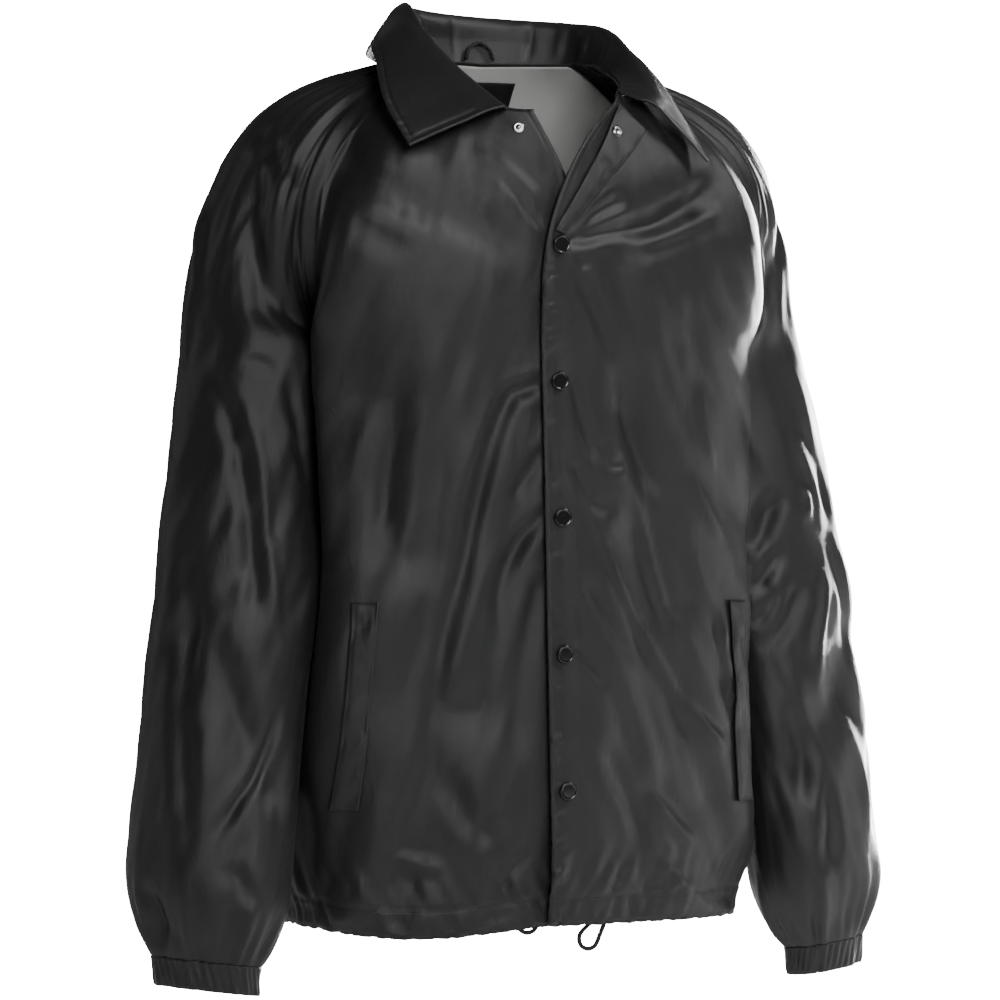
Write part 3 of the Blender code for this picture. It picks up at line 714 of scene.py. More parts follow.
def turned_object(name: str, profile: Sequence[Place], spot: Vector, normal: Vector, material: Material,
                  segments: int = 40) -> Obj:
    """A round part turned from a profile.

    Args:
        name: The piece's name.
        profile: Radius and height of each ring, from the middle of its top to its underside.
        spot: Where its underside's middle lies.
        normal: Its axis.
        material: Its finish.
        segments: Points round it.

    Returns:
        The object.
    """
    axis = normal.normalized()
    side = axis.orthogonal().normalized()
    other = axis.cross(side)
    points, faces = [], []
    for radius, height in profile:
        for step in range(segments):
            turn = 2 * math.pi * step / segments
            points.append(spot + axis * height + (side * math.cos(turn) + other * math.sin(turn)) * radius)
    for ring in range(len(profile) - 1):
        for step in range(segments):
            a, b = ring * segments + step, ring * segments + (step + 1) % segments
            faces.append((a, a + segments, b + segments, b))
    faces.append(tuple(range(segments)))
    faces.append(tuple(range(len(points) - segments, len(points)))[::-1])
    return mesh_object(name, points, faces, material)


@dataclass(frozen=True)
class Stitching:
    """Rows of short thread stitches that lie on the cloth."""

    length: float = 0.0026
    pitch: float = 0.0034
    radius: float = 0.00024
    sides: int = 5

    def add(self, name: str, lines: Sequence[tuple[np.ndarray, np.ndarray]], material: Material, slot: Slot) -> Obj:
        """Sews lines of stitches as one piece.

        Args:
            name: The piece's name.
            lines: Points and normals of each line.
            material: The thread's finish.
            slot: The record's slot.

        Returns:
            The object.
        """
        points: list[np.ndarray] = []
        faces: list[tuple[int, ...]] = []
        for line, normals in lines:
            along = lengths_along(line)
            for start in np.arange(self.pitch / 2, along[-1] - self.length, self.pitch):
                self._stitch(points, faces, along, line, normals, start)
        return settle(mesh_object(name, points, faces, material), slot)

    def _stitch(self, points: list[np.ndarray], faces: list[tuple[int, ...]], along: np.ndarray,
                line: np.ndarray, normals: np.ndarray, start: float) -> None:
        """Adds one stitch, a short spindle that dips into the cloth at both ends.

        Args:
            points: Points so far.
            faces: Faces so far.
            along: Lengths along the line.
            line: The line's points.
            normals: The cloth's normals on it.
            start: Where the stitch starts.
        """
        places = start + self.length * np.array([0.0, 0.22, 0.78, 1.0])
        spots, upright = values_at(places, along, line), unit(values_at(places, along, normals))
        spots = spots + upright * (self.radius * np.array([-0.6, 0.55, 0.55, -0.6]))[:, None]
        axis = unit(spots[-1] - spots[0])
        first = len(points)
        points.append(spots[0])
        for ring in (1, 2):
            other = unit(np.cross(axis, upright[ring]))
            for step in range(self.sides):
                turn = 2 * math.pi * step / self.sides
                points.append(spots[ring] + self.radius * (math.cos(turn) * other + math.sin(turn) * upright[ring]))
        points.append(spots[3])
        last = len(points) - 1
        for step in range(self.sides):
            a, b = first + 1 + step, first + 1 + (step + 1) % self.sides
            faces.append((first, b, a))
            faces.append((a, b, b + self.sides, a + self.sides))
            faces.append((a + self.sides, b + self.sides, last))


# The jacket's smooth form


@dataclass(frozen=True)
class BodySection:
    """Half of a level section of the body, from the centre front round the side to the centre back."""

    z: float
    points: np.ndarray
    along: np.ndarray
    front_length: float
    back_length: float

    def at(self, along: np.ndarray) -> np.ndarray:
        """Points at lengths from the centre front; a negative length lies across it."""
        x = np.interp(np.abs(along), self.along, self.points[:, 0]) * np.where(along < 0, -1.0, 1.0)
        y = np.interp(np.abs(along), self.along, self.points[:, 1])
        return np.stack([x, y, np.full(len(x), self.z)], axis=1)

    def front(self, edge_x: float, u: np.ndarray) -> np.ndarray:
        """Points from the front edge (u = 0) to the side seam (u = 1)."""
        return self.at(edge_x + (self.front_length - edge_x) * u)

    def back(self, u: np.ndarray) -> np.ndarray:
        """Points from the centre back (u = 0) to the side seam (u = 1)."""
        return self.at(self.front_length + self.back_length * (1 - u))


@dataclass(frozen=True)
class FrontCut:
    """Where one front's neck and edge lie, and its own broad folds."""

    neck: tuple[Point, ...]
    edge: tuple[Point, ...]
    chest_x: float
    hem_x: float
    sag: float
    folds: tuple[Fold, ...]


@dataclass(frozen=True)
class JacketForm:
    """The jacket's smooth base surfaces, on the grids of its solids."""

    cloth: float = 0.0010
    seam_gap: float = 0.0011
    underarm_z: float = -0.250
    hem_z: float = -0.742
    cuff_top_z: float = -0.774
    cuff_gap: float = 0.0005
    sleeve_clearance: float = 0.005
    clearance_grows_over: float = 0.050
    corner_softness: float = 0.006
    hem_draw: float = 0.010
    hem_draw_reach: float = 0.030
    front_columns: int = 13
    back_half_columns: int = 9
    sleeve_columns: int = 21
    upper_rows: int = 9
    body_lower_rows: int = 10
    sleeve_lower_rows: int = 11
    section_steps: int = 181
    cap_closing: float = 4.0
    relax_rounds: int = 8
    cap_relax_rounds: int = 2
    side_free_to: float = 0.45
    side_held_from: float = 0.80
    held_rows_above: int = 4
    roll_radius: float = 0.0030
    collar_lift: float = -0.0015
    rings: tuple[Ring, ...] = (
        Ring(-0.250, 0.033, 0.230, 0.153, 0.132, 2.8),
        Ring(-0.340, 0.031, 0.229, 0.153, 0.130, 2.8),
        Ring(-0.460, 0.027, 0.226, 0.151, 0.128, 2.8),
        Ring(-0.580, 0.022, 0.224, 0.148, 0.130, 2.7),
        Ring(-0.680, 0.018, 0.222, 0.145, 0.133, 2.6),
        Ring(-0.742, 0.015, 0.218, 0.141, 0.134, 2.5),
    )
    loops: tuple[Loop, ...] = (
        Loop(-0.250, 0.2275, 0.031, 0.0640, 0.0720, 0.0, 0.00),
        Loop(-0.330, 0.2370, 0.022, 0.0660, 0.0680, 10.0, 0.02),
        Loop(-0.440, 0.2535, 0.004, 0.0690, 0.0600, 22.0, 0.04),
        Loop(-0.540, 0.2695, -0.006, 0.0700, 0.0560, 28.0, 0.06),
        Loop(-0.620, 0.2805, -0.013, 0.0700, 0.0540, 30.0, 0.08),
        Loop(-0.690, 0.2870, -0.018, 0.0685, 0.0520, 30.0, 0.10),
        Loop(-0.730, 0.2915, -0.021, 0.0650, 0.0490, 30.0, 0.12),
        Loop(-0.757, 0.2950, -0.023, 0.0560, 0.0400, 30.0, 0.12),
        Loop(-0.774, 0.2955, -0.025, 0.0465, 0.0300, 30.0, 0.12),
        Loop(-0.797, 0.2955, -0.026, 0.0445, 0.0280, 30.0, 0.12),
    )
    front_seam: tuple[Point, ...] = (
        (0.086, -0.020, -0.008),
        (0.141, -0.032, -0.032),
        (0.182, -0.050, -0.061),
        (0.210, -0.058, -0.104),
        (0.217, -0.052, -0.145),
        (0.207, -0.032, -0.192),
        (0.184, 0.004, -0.232),
        (0.1635, 0.031, -0.250),
    )
    back_seam: tuple[Point, ...] = (
        (0.075, 0.038, 0.001),
        (0.130, 0.068, -0.024),
        (0.172, 0.096, -0.058),
        (0.201, 0.115, -0.105),
        (0.211, 0.117, -0.150),
        (0.203, 0.097, -0.198),
        (0.183, 0.062, -0.235),
        (0.1635, 0.031, -0.250),
    )
    shoulder_ridge: tuple[Point, ...] = (
        (0.0875, 0.010, 0.000),
        (0.140, 0.020, -0.014),
        (0.188, 0.028, -0.028),
        (0.217, 0.031, -0.045),
        (0.238, 0.032, -0.070),
        (0.261, 0.032, -0.120),
        (0.278, 0.031, -0.178),
        (0.2915, 0.031, -0.250),
    )
    shoulder_neck: tuple[Point, ...] = ((0.086, -0.020, -0.008), (0.0875, 0.010, 0.000), (0.075, 0.038, 0.001))
    back_neck: tuple[Point, ...] = ((0.0, 0.062, 0.000), (0.040, 0.056, 0.001), (0.075, 0.038, 0.001))
    centre_back: tuple[Point, ...] = (
        (0.0, 0.062, 0.000),
        (0.0, 0.092, -0.035),
        (0.0, 0.125, -0.090),
        (0.0, 0.150, -0.160),
    )
    right_collar: tuple[Station, ...] = (
        Station((0.053, -0.1075, -0.0510), (0.057, -0.1150, -0.0500), (0.146, -0.1120, -0.085)),
        Station((0.070, -0.0740, -0.0265), (0.082, -0.0720, -0.0148), (0.155, -0.0850, -0.050)),
        Station((0.086, -0.0200, -0.0075), (0.094, -0.0280, 0.0220), (0.143, -0.0330, -0.006)),
        Station((0.0875, 0.0100, 0.0005), (0.090, 0.0100, 0.0460), (0.122, 0.0220, 0.012)),
        Station((0.075, 0.0380, 0.0015), (0.079, 0.0430, 0.0470), (0.105, 0.0680, 0.003)),
        Station((0.040, 0.0560, 0.0015), (0.041, 0.0620, 0.0440), (0.056, 0.0960, -0.006)),
        Station((0.000, 0.0620, 0.0005), (0.000, 0.0690, 0.0420), (0.000, 0.1040, -0.010)),
    )
    left_collar: tuple[Station, ...] = (
        Station((0.060, -0.0950, -0.0330), (0.075, -0.1080, -0.0400), (0.133, -0.1180, -0.092)),
        Station((0.074, -0.0700, -0.0255), (0.094, -0.0720, -0.0230), (0.128, -0.0900, -0.060)),
        Station((0.086, -0.0200, -0.0075), (0.097, -0.0260, 0.0100), (0.124, -0.0330, -0.016)),
        Station((0.0875, 0.0100, 0.0005), (0.093, 0.0100, 0.0310), (0.120, 0.0200, 0.004)),
        Station((0.075, 0.0380, 0.0015), (0.079, 0.0430, 0.0370), (0.105, 0.0680, 0.000)),
        Station((0.040, 0.0560, 0.0015), (0.041, 0.0620, 0.0400), (0.056, 0.0960, -0.006)),
        Station((0.000, 0.0620, 0.0005), (0.000, 0.0690, 0.0420), (0.000, 0.1040, -0.010)),
    )

    @property
    def girth(self) -> float:
        """The length round the sleeve's widest section, by which its creases are placed."""
        return 2 * math.pi * self.loops[0].half_width

    def soft_min(self, a: np.ndarray, b: np.ndarray) -> np.ndarray:
        """The smaller of two lengths, rounded where they cross."""
        low, high = np.minimum(a, b), np.maximum(a, b)
        return low - self.corner_softness * np.log1p(np.exp((low - high) / self.corner_softness))

    def sleeve_inner(self, z: float, y: np.ndarray) -> np.ndarray:
        """How far out the inner side of the sleeve lies.

        Args:
            z: A height.
            y: Depths at that height.

        Returns:
            x for each depth.
        """
        loop = row_at(self.loops, z)
        cos, sin = math.cos(math.radians(loop.turn)), math.sin(math.radians(loop.turn))
        wide, deep = loop.half_width**-2, loop.half_depth**-2
        off = y - loop.centre_y
        square = cos**2 * wide + sin**2 * deep
        linear = off * cos * sin * (wide - deep)
        constant = off**2 * (sin**2 * wide + cos**2 * deep) - 1
        return loop.centre_x - (linear + np.sqrt(np.maximum(linear**2 - square * constant, 0.0))) / square

    def section(self, z: float) -> BodySection:
        """The body's level section at a height.

        Args:
            z: The height.

        Returns:
            The section.
        """
        ring = row_at(self.rings, z)
        turn = np.linspace(0.0, math.pi, self.section_steps)
        power = 2.0 / ring.squareness
        forward = np.sign(np.cos(turn)) * np.abs(np.cos(turn)) ** power
        y = ring.centre_y - np.where(forward > 0, ring.front, ring.back) * forward
        drop = max(self.underarm_z - z, 0.0)
        grown = 1 - math.exp(-drop / self.clearance_grows_over)
        gap = self.seam_gap / 2 + self.sleeve_clearance * grown
        x = self.soft_min(ring.half_width * np.abs(np.sin(turn)) ** power, self.sleeve_inner(z, y) - gap)
        drawn = self.hem_draw * ease((self.hem_z + self.hem_draw_reach - z) / self.hem_draw_reach)
        scale = 1 - drawn / ring.half_width
        points = np.stack([x * scale, ring.centre_y + (y - ring.centre_y) * scale], axis=1)
        points[[0, -1], 0] = 0.0
        along = lengths_along(points)
        front = along[self.section_steps // 2]
        return BodySection(z, points, along, front, along[-1] - front)

    def sleeve_loop(self, z: float, u: np.ndarray) -> np.ndarray:
        """Points round the sleeve at a height: u = 0 at the underarm, 0.25 in front, 0.5 outside.

        Args:
            z: The height.
            u: Shares of the way round.

        Returns:
            The points.
        """
        loop = row_at(self.loops, z)
        angle = 2 * math.pi * u
        wide, deep = -loop.half_width * np.cos(angle), -loop.half_depth * np.sin(angle)
        cos, sin = math.cos(math.radians(loop.turn)), math.sin(math.radians(loop.turn))
        x, y = cos * wide - sin * deep, sin * wide + cos * deep
        return np.stack([loop.centre_x + x, loop.centre_y + y, z + loop.rise * x], axis=1)

    def lower_heights(self) -> np.ndarray:
        """Heights of the body's rows below the underarm."""
        return np.linspace(self.underarm_z, self.hem_z, self.body_lower_rows)

    def drop_share(self, z: float) -> float:
        """How far down from the underarm to the hem a height is."""
        return (self.underarm_z - z) / (self.underarm_z - self.hem_z)

    def column_places(self, columns: int) -> np.ndarray:
        """Fractions across a body panel, closer together towards the side seam."""
        t = np.linspace(0, 1, columns)
        return (t + np.sin(math.pi / 2 * t)) / 2

    def free_share(self, u: np.ndarray, rows: int) -> np.ndarray:
        """How freely points may be evened out: less towards the side, where low rows follow the sleeve.

        Args:
            u: Shares of the way across.
            rows: Row numbers.

        Returns:
            Shares from 0 to 1.
        """
        beside = 1 - ease((u - self.side_free_to) / (self.side_held_from - self.side_free_to))
        over = np.arange(rows) - self.upper_rows + self.held_rows_above
        above = 1 - ease(over / (self.held_rows_above - 1))
        return np.maximum(beside[None, :], above[:, None])

    def front(self, cut: FrontCut) -> np.ndarray:
        """One smooth front, from the raglan and side seams to its edge, with x counted outwards.

        Args:
            cut: The front's edge.

        Returns:
            Its grid of points.
        """
        u = self.column_places(self.front_columns)
        v = np.linspace(0, 1, self.upper_rows)
        chest = self.section(self.underarm_z).front(cut.chest_x, u)
        edge_line = smooth_curve([*cut.edge, tuple(chest[0])], v)
        upper = coons(u, smooth_curve(cut.neck, u), chest, edge_line, smooth_curve(self.front_seam, v))
        lower = []
        for z in self.lower_heights():
            share = self.drop_share(z)
            row = self.section(z).front(cut.chest_x + (cut.hem_x - cut.chest_x) * share, u)
            row[:, 2] -= cut.sag * share * np.sin(math.pi * u) ** 2
            lower.append(row)
        grid = np.concatenate([upper[:-1], np.array(lower)])
        return relaxed(grid, self.relax_rounds, self.free_share(u, len(grid)))[:, ::-1]

    def back(self) -> np.ndarray:
        """The smooth back, from the wearer's right side seam to the left one.

        Returns:
            Its grid of points.
        """
        u = self.column_places(self.back_half_columns)
        v = np.linspace(0, 1, self.upper_rows)
        chest = self.section(self.underarm_z).back(u)
        middle = smooth_curve([*self.centre_back, tuple(chest[0])], v)
        upper = coons(u, smooth_curve(self.back_neck, u), chest, middle, smooth_curve(self.back_seam, v))
        lower = [self.section(z).back(u) for z in self.lower_heights()]
        half = np.concatenate([upper[:-1], np.array(lower)])
        share = self.free_share(u, len(half))
        whole_share = np.concatenate([share[:, ::-1], share[:, 1:]], axis=1)
        return relaxed(np.concatenate([mirrored(half), half[:, 1:]], axis=1), self.relax_rounds, whole_share)

    def sleeve(self) -> np.ndarray:
        """One smooth sleeve, whose first and last columns meet along the underarm seam.

        Returns:
            Its grid of points.
        """
        u = np.linspace(0, 1, self.sleeve_columns)
        v = np.linspace(0, 1, self.upper_rows)
        seams = (self.front_seam, self.back_seam, self.shoulder_ridge)
        front, back, ridge = (smooth_curve(seam, v) for seam in seams)
        foot = self.sleeve_loop(self.underarm_z, u)
        span = coons(u, smooth_curve(self.shoulder_neck, u), foot, front, back)
        middle = ((front + back) / 2)[:, None]
        across = ((front - back) / 2)[:, None] * np.cos(math.pi * u)[None, :, None]
        arch = middle + across + (ridge[:, None] - middle) * np.sin(math.pi * u)[None, :, None]
        closing = (v**self.cap_closing)[:, None, None]
        upper = relaxed(arch + (span - arch) * closing, self.cap_relax_rounds, 1.0)
        heights = np.linspace(self.underarm_z, self.cuff_top_z + self.cuff_gap, self.sleeve_lower_rows)
        lower = [self.sleeve_loop(z, u) for z in heights]
        return np.concatenate([upper[:-1], np.array(lower)])[:, ::-1]

    def collar_profile(self, station: Station) -> np.ndarray:
        """Points across the collar at one station, from the neck seam over the roll to the outer edge.

        Args:
            station: The place round the neck.

        Returns:
            The points.
        """
        base, roll, edge = (np.array(point) for point in station)
        outward = unit(np.array([edge[0] - base[0], edge[1] - base[1], 0.0]))
        rise = unit(roll - base)
        base = base + self.collar_lift * rise
        inner = roll - self.roll_radius * rise
        top = roll + self.roll_radius * outward
        fall = unit(edge - top)
        outer = top + self.roll_radius * (outward + fall)
        bulge = outward * self.roll_radius / 2
        third, two_thirds = outer + (edge - outer) / 3 + bulge, outer + (edge - outer) * 2 / 3 + bulge
        return np.array([base, (base + inner) / 2, inner, top, outer, third, two_thirds, edge])

    def collar(self, rows: np.ndarray, columns: np.ndarray) -> np.ndarray:
        """The smooth collar, from its right front end round the neck to its left end.

        Args:
            rows: Fractions from the neck seam to the outer edge.
            columns: Fractions round the neck.

        Returns:
            The grid.
        """
        lines = self.collar_lines(columns)
        return np.stack([smooth_curve(lines[:, k], rows) for k in range(len(columns))], axis=1)

    def collar_lines(self, columns: np.ndarray) -> np.ndarray:
        """The lines of the collar's profile points, from its right front end round the neck to its left end.

        Args:
            columns: Shares of the way round.

        Returns:
            The points of each line.
        """
        flip = np.array([-1.0, 1.0, 1.0])
        stations = [self.collar_profile(station) * flip for station in self.right_collar]
        stations += [self.collar_profile(station) for station in self.left_collar[-2::-1]]
        lines = np.swapaxes(np.array(stations), 0, 1)
        return np.array([smooth_curve(line, columns) for line in lines])

    def collar_roll(self, columns: np.ndarray) -> np.ndarray:
        """The fraction of the way across the collar at which it rolls over, at each place round the neck."""
        roll_point = 3
        steps = np.linalg.norm(np.diff(self.collar_lines(columns), axis=0), axis=2)
        return steps[:roll_point].sum(axis=0) / steps.sum(axis=0)


# Finishes


class NodeBench:
    """Adds and joins the nodes of one shader tree."""

    def __init__(self, tree: Tree) -> None:
        """Takes the tree to work on."""
        self.tree = tree

    def add(self, kind: str, **settings: object) -> Node:
        """Adds a node.

        Args:
            kind: Its type, without the leading ShaderNode.
            **settings: Properties to set on it.

        Returns:
            The node.
        """
        node = self.tree.nodes.new(kind if kind.startswith("Node") else "ShaderNode" + kind)
        for name, value in settings.items():
            setattr(node, name, value)
        return node

    def feed(self, target: Socket, value: object) -> None:
        """Joins a socket to a target, or sets the target to a plain value.

        Args:
            target: The input.
            value: A socket or a plain value.
        """
        if isinstance(value, Socket):
            self.tree.links.new(value, target)
        else:
            target.default_value = value

    def math(self, operation: str, *values: object) -> Socket:
        """A Math node's result for sockets or plain numbers.

        Args:
            operation: What it does.
            *values: Sockets or numbers.

        Returns:
            The result.
        """
        node = self.add("Math", operation=operation)
        for target, value in zip(node.inputs, values):
            self.feed(target, value)
        return node.outputs[0]

    def span(self, value: Socket, low: float, high: float) -> Socket:
        """A mask from 0 to 1 spread from low to high.

        Args:
            value: What is spread.
            low: Where the mask is 0.
            high: Where it is 1.

        Returns:
            The mask.
        """
        node = self.add("MapRange")
        self.feed(node.inputs["Value"], value)
        self.feed(node.inputs["To Min"], low)
        self.feed(node.inputs["To Max"], high)
        return node.outputs["Result"]

    def bump(self, height: Socket, depth: float, under: Socket | None = None) -> Socket:
        """A bump from a height mask.

        Args:
            height: The mask, 0 to 1.
            depth: What 1 stands for, in metres.
            under: The normal of a bump below it.

        Returns:
            The bumped normal.
        """
        node = self.add("Bump")
        self.feed(node.inputs["Distance"], depth)
        self.feed(node.inputs["Height"], height)
        if under is not None:
            self.feed(node.inputs["Normal"], under)
        return node.outputs["Normal"]

    def blend(self, mask: Socket, dark: Sequence[float], light: Sequence[float]) -> Socket:
        """A colour between two by a mask.

        Args:
            mask: The mask.
            dark: The colour at 0.
            light: The colour at 1.

        Returns:
            The colour.
        """
        node = self.add("Mix", data_type="RGBA")
        self.feed(node.inputs["Factor"], mask)
        self.feed(node.inputs[6], (*dark, 1.0))
        self.feed(node.inputs[7], (*light, 1.0))
        return node.outputs[2]

    def split_view(self, lit: Socket, shown: Socket, output: str) -> None:
        """Shows the camera one shader while another takes part in the light.

        Args:
            lit: The shader in the light.
            shown: The shader that the camera sees.
            output: The name of the tree's output node.
        """
        mix = self.add("MixShader")
        for target, value in zip(mix.inputs, (self.add("LightPath").outputs["Is Camera Ray"], lit, shown)):
            self.feed(target, value)
        self.feed(self.tree.nodes[output].inputs["Surface"], mix.outputs[0])


class NodeGroups:
    """The shader groups that several finishes share, each built once."""

    def __init__(self) -> None:
        """Builds the groups."""
        self.weave = self._weave()
        self.ageing = self._ageing()

    @staticmethod
    def _new(name: str, inputs: Sequence[str], outputs: Sequence[str]) -> tuple[NodeBench, Node, Node]:
        """Starts a group with number sockets.

        Args:
            name: The group's name.
            inputs: Names of its inputs.
            outputs: Names of its outputs.

        Returns:
            Its bench, its input node and its output node.
        """
        tree = bpy.data.node_groups.new(name, "ShaderNodeTree")
        for direction, names in (("INPUT", inputs), ("OUTPUT", outputs)):
            for socket in names:
                tree.interface.new_socket(socket, in_out=direction, socket_type="NodeSocketFloat")
        bench = NodeBench(tree)
        return bench, bench.add("NodeGroupInput"), bench.add("NodeGroupOutput")

    def _weave(self) -> Tree:
        """Threads over and under each other, or slanted ribs, on the cloth's map in metres.

        Returns:
            The group.
        """
        bench, given, put = self._new("thread_weave", ("Threads", "Slant"), ("Height",))
        place = bench.add("SeparateXYZ")
        bench.feed(place.inputs[0], bench.add("UVMap", uv_map="cloth_metres").outputs[0])
        turn = bench.math("MULTIPLY", given.outputs["Threads"], 2 * math.pi)
        weft = bench.math("MULTIPLY", place.outputs["X"], turn)
        warp = bench.math("MULTIPLY", place.outputs["Y"], turn)
        ribs = bench.math("SINE", bench.math("ADD", weft, bench.math("MULTIPLY", warp, given.outputs["Slant"])))
        plain = bench.math("MULTIPLY", bench.math("SINE", warp), bench.math("SUBTRACT", 1.0, given.outputs["Slant"]))
        both = bench.math("MULTIPLY", bench.math("ADD", ribs, plain), 0.25)
        bench.feed(put.inputs["Height"], bench.math("ADD", both, 0.5))
        return bench.tree

    def _ageing(self) -> Tree:
        """Slow tone changes, fine crinkles and specks over a piece.

        Returns:
            The group.
        """
        bench, given, put = self._new("surface_ageing", ("Scale", "Stretch"), ("Tone", "Crinkle", "Speck"))
        place = bench.add("TexCoord").outputs["Object"]
        parts = bench.add("SeparateXYZ")
        bench.feed(parts.inputs[0], place)
        joined = bench.add("CombineXYZ")
        bench.feed(joined.inputs["X"], parts.outputs["X"])
        bench.feed(joined.inputs["Y"], parts.outputs["Y"])
        bench.feed(joined.inputs["Z"], bench.math("MULTIPLY", parts.outputs["Z"], given.outputs["Stretch"]))
        noises = []
        for share, detail in ((0.22, 3.0), (1.0, 4.0), (14.0, 2.0)):
            noise = bench.add("TexNoise")
            bench.feed(noise.inputs["Vector"], joined.outputs[0])
            bench.feed(noise.inputs["Scale"], bench.math("MULTIPLY", given.outputs["Scale"], share))
            bench.feed(noise.inputs["Detail"], detail)
            bench.feed(noise.inputs["Distortion"], 0.6)
            noises.append(noise.outputs["Fac"])
        ridge = bench.math("ABSOLUTE", bench.math("SUBTRACT", noises[1], 0.5))
        bench.feed(put.inputs["Tone"], noises[0])
        bench.feed(put.inputs["Crinkle"], bench.math("SUBTRACT", 1.0, bench.math("MULTIPLY", ridge, 2.0)))
        bench.feed(put.inputs["Speck"], noises[2])
        return bench.tree

    @staticmethod
    def place(bench: NodeBench, tree: Tree, **values: float) -> Node:
        """Puts a group into a material with its own values.

        Args:
            bench: The material's nodes.
            tree: The group.
            **values: Its inputs.

        Returns:
            Its node.
        """
        node = bench.add("Group", node_tree=tree)
        for name, value in values.items():
            node.inputs[name].default_value = value
        return node


def new_material(name: str) -> tuple[Material, NodeBench, Node]:
    """A material with its bench and its Principled shader."""
    material = bpy.data.materials.new(name)
    material.use_nodes = True
    return material, NodeBench(material.node_tree), material.node_tree.nodes["Principled BSDF"]


@dataclass(frozen=True)
class ClothFinish:
    """A woven cloth: its colours, sheen, threads and crinkles."""

    name: str
    dark: Point
    light: Point
    smooth: float
    rough: float
    threads: float
    slant: float
    thread_depth: float
    crinkle_scale: float
    crinkle_depth: float
    sheen: float = 0.0
    sheen_roughness: float = 0.35
    specular: float = 0.5

    def make(self, groups: NodeGroups) -> Material:
        """The material.

        Args:
            groups: The shared shader groups.

        Returns:
            The material.
        """
        material, bench, shader = new_material(self.name)
        ageing = groups.place(bench, groups.ageing, Scale=self.crinkle_scale, Stretch=0.55)
        weave = groups.place(bench, groups.weave, Threads=self.threads, Slant=self.slant)
        tone = ageing.outputs["Tone"]
        bench.feed(shader.inputs["Base Color"], bench.blend(tone, self.dark, self.light))
        bench.feed(shader.inputs["Roughness"], bench.span(ageing.outputs["Speck"], self.smooth, self.rough))
        crinkled = bench.bump(ageing.outputs["Crinkle"], self.crinkle_depth)
        bench.feed(shader.inputs["Normal"], bench.bump(weave.outputs["Height"], self.thread_depth, crinkled))
        shader.inputs["Specular IOR Level"].default_value = self.specular
        shader.inputs["Sheen Weight"].default_value = self.sheen
        shader.inputs["Sheen Roughness"].default_value = self.sheen_roughness
        return material


@dataclass(frozen=True)
class CordFinish:
    """A braided cord: crossing strands round it, with painted shade that darkens the grooves between the strands."""

    name: str
    dark: Point
    light: Point
    strands: float = 4.0
    lay: float = 180.0
    depth: float = 0.0006
    roughness: float = 0.62

    def make(self, groups: NodeGroups) -> Material:
        """The material.

        Args:
            groups: The shared shader groups.

        Returns:
            The material.
        """
        material, bench, shader = new_material(self.name)
        place = bench.add("SeparateXYZ")
        bench.feed(place.inputs[0], bench.add("UVMap", uv_map="cloth_metres").outputs[0])
        around = bench.math("MULTIPLY", place.outputs["X"], self.strands)
        along = bench.math("MULTIPLY", place.outputs["Y"], self.lay)
        strands = []
        for way in ("ADD", "SUBTRACT"):
            turns = bench.math("MULTIPLY", bench.math(way, around, along), 2 * math.pi)
            strands.append(bench.math("SINE", turns))
        height = bench.span(bench.math("MAXIMUM", *strands), 0.0, 1.0)
        ageing = groups.place(bench, groups.ageing, Scale=260.0, Stretch=1.0)
        # Painted shade: the colour follows the strand height, dark in the grooves between the strands and light on
        # their tops.
        bench.feed(shader.inputs["Base Color"], bench.blend(height, self.dark, self.light))
        bench.feed(shader.inputs["Roughness"], bench.span(ageing.outputs["Speck"], self.roughness, 0.8))
        bench.feed(shader.inputs["Normal"], bench.bump(height, self.depth))
        shader.inputs["Sheen Weight"].default_value = 0.15
        return material


@dataclass(frozen=True)
class MetalFinish:
    """A snap's metal, bare or enamelled, with light handling marks."""

    name: str
    dark: Point
    light: Point
    smooth: float
    rough: float
    metallic: float
    coat: float = 0.0

    def make(self, groups: NodeGroups) -> Material:
        """The material.

        Args:
            groups: The shared shader groups.

        Returns:
            The material.
        """
        material, bench, shader = new_material(self.name)
        ageing = groups.place(bench, groups.ageing, Scale=420.0, Stretch=1.0)
        bench.feed(shader.inputs["Base Color"], bench.blend(ageing.outputs["Tone"], self.dark, self.light))
        bench.feed(shader.inputs["Roughness"], bench.span(ageing.outputs["Crinkle"], self.rough, self.smooth))
        bench.feed(shader.inputs["Normal"], bench.bump(ageing.outputs["Speck"], 0.00002))
        shader.inputs["Metallic"].default_value = self.metallic
        shader.inputs["Coat Weight"].default_value = self.coat
        shader.inputs["Coat Roughness"].default_value = 0.08
        return material


